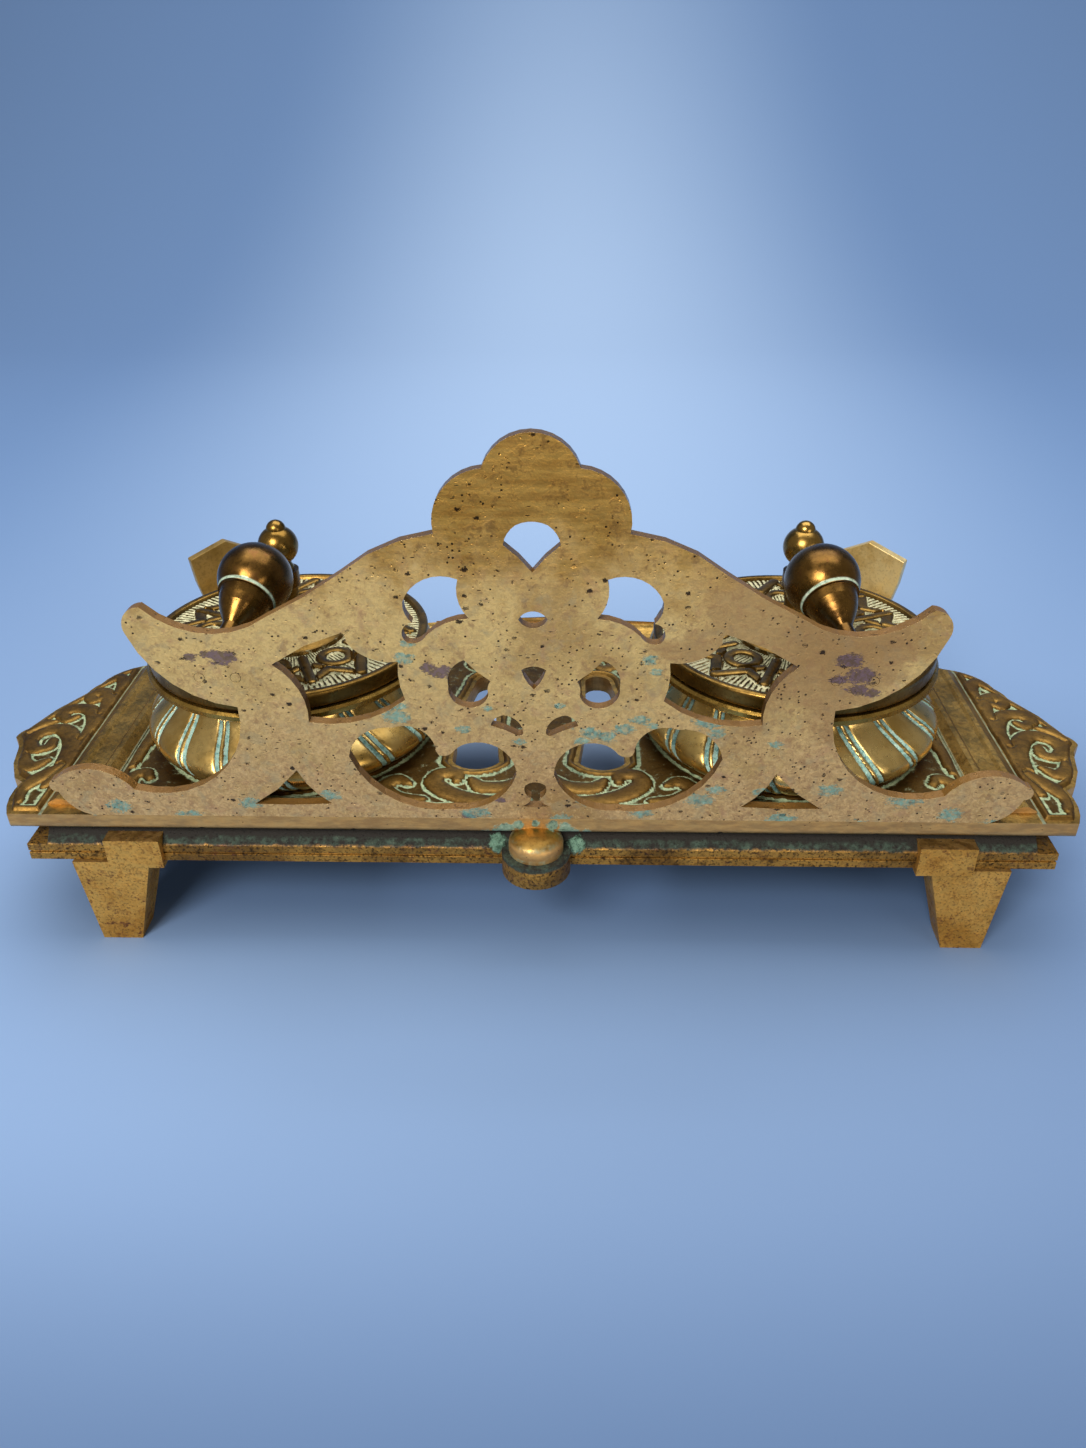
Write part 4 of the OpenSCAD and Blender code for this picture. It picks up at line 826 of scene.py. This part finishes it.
# Scrolls cast on the tray: x, distance from the back edge and a quarter of the width, point by point
SCROLLS = [
    [[121.6, 11, 0.6], [120.9, 21, 1.2], [122.6, 31, 1.3], [127.4, 37.4, 1.3], [132.6, 36, 1.2],
     [133.9, 31.4, 1.1], [131.2, 27.6, 1], [128, 28.6, 0.9], [128, 31.8, 0.7]],
    [[121.4, 20, 0.6], [124.6, 14.6, 1.2], [127, 9.4, 1.1], [125, 4.6, 0.5]],
    [[125.4, 22.6, 0.5], [128.4, 19.6, 1.1], [131.4, 21.6, 1], [132, 24.6, 0.5]],
    [[121, 33, 0.5], [120.6, 41, 1.1], [123.8, 47.4, 1.2], [128.8, 48.2, 1.2], [130.8, 45, 1],
     [128.4, 42.4, 0.9], [126.4, 44, 0.6]],
    [[120.8, 46, 0.5], [121, 53, 1.1], [124, 57.6, 1.1], [126.8, 55.2, 1], [125.2, 52.2, 0.8],
     [123.6, 53.4, 0.6]],
    [[120.2, 57, 0.5], [120.6, 63.6, 1], [123.2, 66, 0.9], [124.6, 62.6, 0.5]],
    [[131.2, 41.2, 0.5], [134.4, 39.6, 0.9], [136.2, 36, 0.5]],
    [[3, 7.4, 0.6], [12, 6.6, 1.1], [20, 8.8, 1.3], [25.4, 13.6, 1.3], [24.4, 18, 1.1], [20.4, 17.8, 1],
     [20, 14.8, 0.6]],
    [[3, 17.6, 0.6], [7, 13, 1.1], [13.4, 12.2, 1.2], [16.4, 15.4, 0.6]],
    [[27.6, 7, 0.6], [34, 7.6, 1.2], [37.6, 11.4, 1.2], [35, 15.4, 1], [31.8, 13.6, 0.6]],
    [[42, 6.6, 0.6], [50, 5.6, 1], [58, 5.6, 0.6]],
    [[80, 6, 0.6], [91, 6.2, 1.1], [99, 8.6, 1.2], [101.6, 14, 1.1], [98.8, 17.6, 0.9],
     [96.6, 15, 0.6]],
    [[102.6, 20, 0.5], [103, 30, 1], [100.9, 36, 0.5]],
    [[102.8, 52, 0.5], [103, 62, 1], [99.6, 70, 1.2], [94, 73.4, 1.1], [91, 76.6, 0.6]],
    [[2.6, 82.6, 0.6], [10, 82.8, 1.1], [17.4, 80.4, 1.2], [20.6, 75.6, 1.1], [17.6, 72.6, 0.9],
     [15, 74.8, 0.6]],
    [[24, 82.8, 0.6], [31, 80.6, 1.1], [34, 76.4, 1], [31, 73.4, 0.6]],
    [[40, 83.2, 0.6], [52, 83.6, 1], [66, 83.8, 0.6]],
]
# Corners of the tray's outline and of an opening: x, distance from the back edge, rise of the arc
TRAY_HALF = [
    [40, 104, -1.5], [86, 105, 6], [112, 90, 1.5], [113.5, 76, 0], [116, 74.5, 2.4], [126.9, 63, 0.4],
    [128.9, 57.6, 0.9], [137.4, 38.4, 0.5], [139, 34, -0.4], [135.9, 28.4, 0.7], [131.1, 15.3, 0],
    [128.4, 13.4, 1.2], [126.2, 0, 0]]
OPENING = [[10, 24, -3.4], [22, 24, 1], [24, 46, 0.6], [19, 66, -2.8], [12, 66, 1.2]]
# Rise of the arc across the middle of the tray's front edge, where the grids of the end lobes begin
# and where their sheets do
FRONT_RISE, END_GRID_X, END_X = 4, 118.3, 118.4
# Rim of plain deck that every sheet leaves free, and the steps of its grid at the ends and on the deck
FREE, END_STEP, DECK_STEP = 0.9, 0.3, 0.5


def stroke_lines(mirrored):
    """The cast scrolls of one half of the tray, or of both, as smooth lines with half widths."""
    lines = []
    for scroll in SCROLLS:
        line = curve_through(scroll)
        lines.append((line[:, :2], line[:, 2] * 2))
        if mirrored:
            lines.append((line[:, :2] * (-1, 1), line[:, 2] * 2))
    return lines


def relief_sheet(name, x, d, inside, strokes, rise=0.8):
    """Cast relief on the tray's deck.

    A flat sheet just over the deck rises by the scrolls' rounded height and by a bead that follows the
    sheet's edge, and sinks under the deck at that edge. inside is the distance to the edge.
    """
    height, clear = stroke_height(x, d, strokes, rise)
    bead = 0.7 * np.sqrt(np.clip(1 - ((inside - 1.3) / 0.8) ** 2, 0, 1))
    height = np.maximum(height, bead)
    stipple = 0.06 * np.sin(x * 7.1) * np.sin(d * 7.3 + x)
    edge = np.clip(inside / 0.5, 0, 1)
    ground = np.clip(1 - height / 0.45, 0, 1) * np.clip((inside - 0.4) / 0.5, 0, 1)
    clear = np.minimum(clear, np.abs(inside - 2.3))
    ground *= 0.42 + 0.5 * np.exp(-((clear - 0.2) / 0.5) ** 2)
    z = DECK - 0.3 + edge * (0.42 + height + stipple * ground)
    grid = np.stack([x, depth(d), z], -1)
    surface(name, grid, relief_brass, keep=inside > -0.7, ground=ground, sharp=180)


def tray_relief():
    """Three sheets of relief: one on each end lobe, and one round the pots, openings and trough.

    Each is a grid of x and the distance d from the back edge, and keeps clear of the tray's outline.
    The deck's sheet also keeps clear of the end lobes, the back strip, the pots' feet, the openings
    and the trough.
    """
    outline = bow(both(TRAY_HALF, FRONT_RISE))
    for side, name in SIDES.items():
        d, u = np.meshgrid(np.arange(0.2, 72, END_STEP), np.arange(0, 21.6, END_STEP), indexing="ij")
        x = END_GRID_X + u
        room = np.minimum(margin(x, d, outline) - FREE, np.minimum(x - END_X, d - FREE))
        # On the left the columns run the other way too, so that the faces still look up
        sheet_x = side * x
        strokes = [(line * (side, 1), half) for line, half in stroke_lines(False)]
        relief_sheet(name + "_end_relief", sheet_x[:, ::side], d[:, ::side], room[:, ::side], strokes)
    d, x = np.meshgrid(
        np.arange(2.4, 107.4, DECK_STEP), np.arange(-114, 114.1, DECK_STEP), indexing="ij")
    room = np.minimum(margin(x, d, outline) - FREE, d - 3.2)
    band = np.maximum(104.7 - np.abs(x), d - 71.4)
    pots = np.hypot(np.abs(x) - POT_X, depth(d) - POT_Y) - 33.2
    holes = -margin(np.abs(x), d, bow(OPENING)) - FREE
    trough = np.hypot(np.maximum(np.abs(x) - 71.5, 0) * 0.75, d - 95) - 10.2
    room = np.minimum.reduce([room, band, pots, holes, trough])
    relief_sheet("deck_relief", x, d, room, stroke_lines(True))


tray_relief()


# ---- Gallery's front face ----
# Thickness of the plate and the rise of the arc over its middle
GALLERY_T, TOP_RISE = 2.6, 7.1
# Corners of the outline and holes: x, height over the deck, rise of the arc that follows
GALLERY_HALF = [
    [9.8, 84.5, 3.8], [19.9, 71, 1.6], [40, 62.1, -0.4], [57, 52, -5], [83.4, 54.4, 2],
    [87.5, 48, 4.2], [66, 30, -9.6], [93.8, 7.4, 4.3], [112.2, 10, 1.7], [112, 6.6, 1.2], [105.5, 0, 0]]
MIDDLE_HOLES = [
    [[5.9, 68.6, -0.5], [3.3, 72.8, -0.8], [-3.3, 72.8, -0.5], [-5.9, 68.6, 0.3], [0, 62.6, 0.3]],
    [[3.1, 51.9, -1.9], [-3.1, 51.9, -2]],
    [[2.7, 39.8, -0.9], [-2.7, 39.8, -0.4], [0, 35, -0.4]],
    [[2.3, 9.5, -0.9], [-2.3, 9.5, -0.8], [-1, 5.9, 0.5], [-3.4, 3.6, -0.3], [3.4, 3.6, 0.5],
     [1, 5.9, -0.8]]]
PAIRED_HOLES = [
    [[27.3, 55.8, -2.8], [15.5, 61, 1.2], [13.5, 52.1, 1], [22.8, 48, -0.7], [26.7, 46.2, -1.8],
     [25.6, 51, -0.6]],
    [[15, 42.2, 1.4], [18.7, 35.7, 1.3], [15.2, 30.4, 1.3], [10, 33.6, -0.4], [9.4, 37, -0.3]],
    [[9.8, 25.7, -0.6], [6.9, 28.4, -1.2], [2.5, 23.8, -0.4], [4, 23.2, 0.2]],
    [[42.4, 17.1, -2.7], [31.9, 24.9, -2.6], [22.5, 19.7, 0.3], [21.6, 17.6, 0.4], [18.8, 18.3, -0.4],
     [15.1, 20.9, -3.4], [4.3, 12.5, -3.3], [19.2, 2.6, -5.1]],
    [[56.9, 40.8, -0.8], [40.9, 48.6, -0.4], [40.2, 46.5, 1.8], [29.3, 41.7, 0.6], [28.4, 32.2, -2.6],
     [50.5, 26.2, 2.2]],
    [[66, 3.6, 0.7], [54.9, 13.2, 0.9], [47.6, 3.9, -0.3]]]


def gallery_front():
    """A bead along every edge of the gallery's front, and a low ridge in the middle of its bars."""
    step = 0.45
    h, x = np.meshgrid(np.arange(0.3, 91.4, step), np.arange(-113.4, 113.5, step), indexing="ij")
    room = margin(x, h, bow(both(GALLERY_HALF, TOP_RISE)))
    for hole in MIDDLE_HOLES:
        room = np.minimum(room, -margin(x, h, bow(hole)))
    for hole in PAIRED_HOLES:
        room = np.minimum(room, -margin(np.abs(x), h, bow(hole)))
    room = np.minimum(room - 0.55, h - 0.6)
    bead = 0.5 * np.sqrt(np.clip(1 - ((room - 0.9) / 0.75) ** 2, 0, 1))
    ridge = 0.45 * np.clip((room - 3.6) / 1.4, 0, 1) ** 0.6
    height = np.maximum(bead, ridge)
    ground = 0.75 * np.clip(1 - height / 0.3, 0, 1) * np.clip((room - 0.4) / 0.5, 0, 1)
    y = BACK - GALLERY_T + 0.25 - np.clip(room / 0.45, 0, 1) * (0.33 + height)
    grid = np.stack([x, y, DECK + h], -1)
    surface("gallery_front_relief", grid, relief_brass, keep=room > -0.5,
            ground=ground, sharp=180)


gallery_front()


# ---- Floor, backdrop and light ----
def backdrop():
    """A sweep of pale blue paper in metres: flat under the stand, then curving up behind it.

    Its blue is painted with light and shade: palest in front of the stand as a painted pool of light,
    painted darker behind it and at its left, and darkest in the stand's painted shadow; a painted pale
    patch of light under the stand shows through the gallery's holes. Each row of painted light and
    shade is a colour, how strongly it lies there, and smooth steps along x, along y or to both sides
    that together bound it.
    """
    far, near, bend, top, half = -1.5, 1.2, 0.9, 3.0, 2.4
    line = [(near, 0.0), (far + bend, 0.0)]
    for a in np.linspace(0, np.pi / 2, 24)[1:]:
        line.append((far + bend - bend * math.sin(a), bend - bend * math.cos(a)))
    line = np.array(line + [(far, top)])
    wide = np.linspace(-half, half, 3)
    grid = np.stack([wide + 0 * line[:, :1], line[:, :1] + 0 * wide, line[:, 1:] + 0 * wide], -1)
    quads = [(3 * i + j, 3 * i + j + 1, 3 * i + j + 4, 3 * i + j + 3)
             for i in range(len(line) - 1) for j in range(2)]
    mesh = bpy.data.meshes.new("backdrop")
    mesh.from_pydata(grid.reshape(-1, 3), [], quads)
    mesh.polygons.foreach_set("use_smooth", np.ones(len(quads), bool))
    material, tree = new_material("backdrop_paper")
    at = add(tree, "TexCoord", out="Object")
    # A painted pool of light: the paper is palest round a point in front of the stand and painted
    # darker away from it
    squeezed = add(tree, "Mapping", {"Vector": at, "Scale": (1.3, 0.36, 0.36)})
    away = add(tree, "VectorMath", squeezed, (0.0, -0.25, 0.02), operation="DISTANCE", out="Value")
    paper = paint(tree, "#A0B9DA", ("#6C89B3", add(tree, "MapRange", away, 0.0, 0.46, **SMOOTH)))
    x, y = (add(tree, "SeparateXYZ", at, out=axis) for axis in "XY")
    beside = add(tree, "Math", x, operation="ABSOLUTE")
    # Painted shade towards the camera and to the left, a painted shadow under the stand, and last a
    # painted patch of light beneath it
    painted_light_and_shade = (
        ("#7A94BA", 1, (y, -0.25, 0.06)),
        ("#546B8E", 1, (y, 0.1, 0.19)),
        ("#4A6185", 0.55, (x, 0.1, -0.25), (y, -0.1, 0.05)),
        ("#43587A", 0.75, (beside, 0.15, 0.1), (y, -0.02, 0.02), (y, 0.06, 0.03)),
        ("#B9D3F6", 0.9, (beside, 0.08, 0.05), (y, -0.075, -0.055), (y, -0.01, -0.03)))
    for tone, mask, *steps in painted_light_and_shade:
        for place, start, stop in steps:
            step = add(tree, "MapRange", place, start, stop, **SMOOTH)
            mask = add(tree, "Math", mask, step, operation="MULTIPLY")
        paper = paint(tree, paper, (tone, mask))
    shader = add(tree, "BsdfDiffuse", {"Color": paper})
    add(tree, "OutputMaterial", {"Surface": shader})
    mesh.materials.append(material)
    item = bpy.data.objects.new("backdrop", mesh)
    bpy.context.scene.collection.objects.link(item)


def lamp(name, place, aim, size, power, colour):
    """A soft rectangular light at a place, turned to its aim. Metres and watts."""
    light = bpy.data.lights.new(name, "AREA")
    light.shape, light.size, light.size_y = "RECTANGLE", size[0], size[1]
    light.energy, light.color = power, linear(colour)[:3]
    item = bpy.data.objects.new(name, light)
    place, aim = Vector(place), Vector(aim)
    turned = (aim - place).to_track_quat("-Z", "Y").to_matrix().to_4x4()
    item.matrix_world = Matrix.Translation(place) @ turned
    bpy.context.scene.collection.objects.link(item)


backdrop()
# A warm key from behind on the right, a wide white one straight over the front, a weak low one
lamp("key", (0.35, 0.85, 0.8), (0, 0, 0.06), (0.5, 0.4), 15.2, "#FFFAF2")
lamp("over", (-0.1, -0.35, 1.1), (-0.1, -0.35, 0), (1.2, 0.9), 12, "#FFFFFF")
lamp("low", (-0.7, 0.9, 0.3), (0, 0, 0.06), (0.5, 0.4), 3, "#FFF6EA")
world = bpy.data.worlds.new("world")
bpy.context.scene.world = world
world.use_nodes = True
sky = world.node_tree.nodes["Background"].inputs
sky["Color"].default_value, sky["Strength"].default_value = linear("#F2EFEA"), 0.29
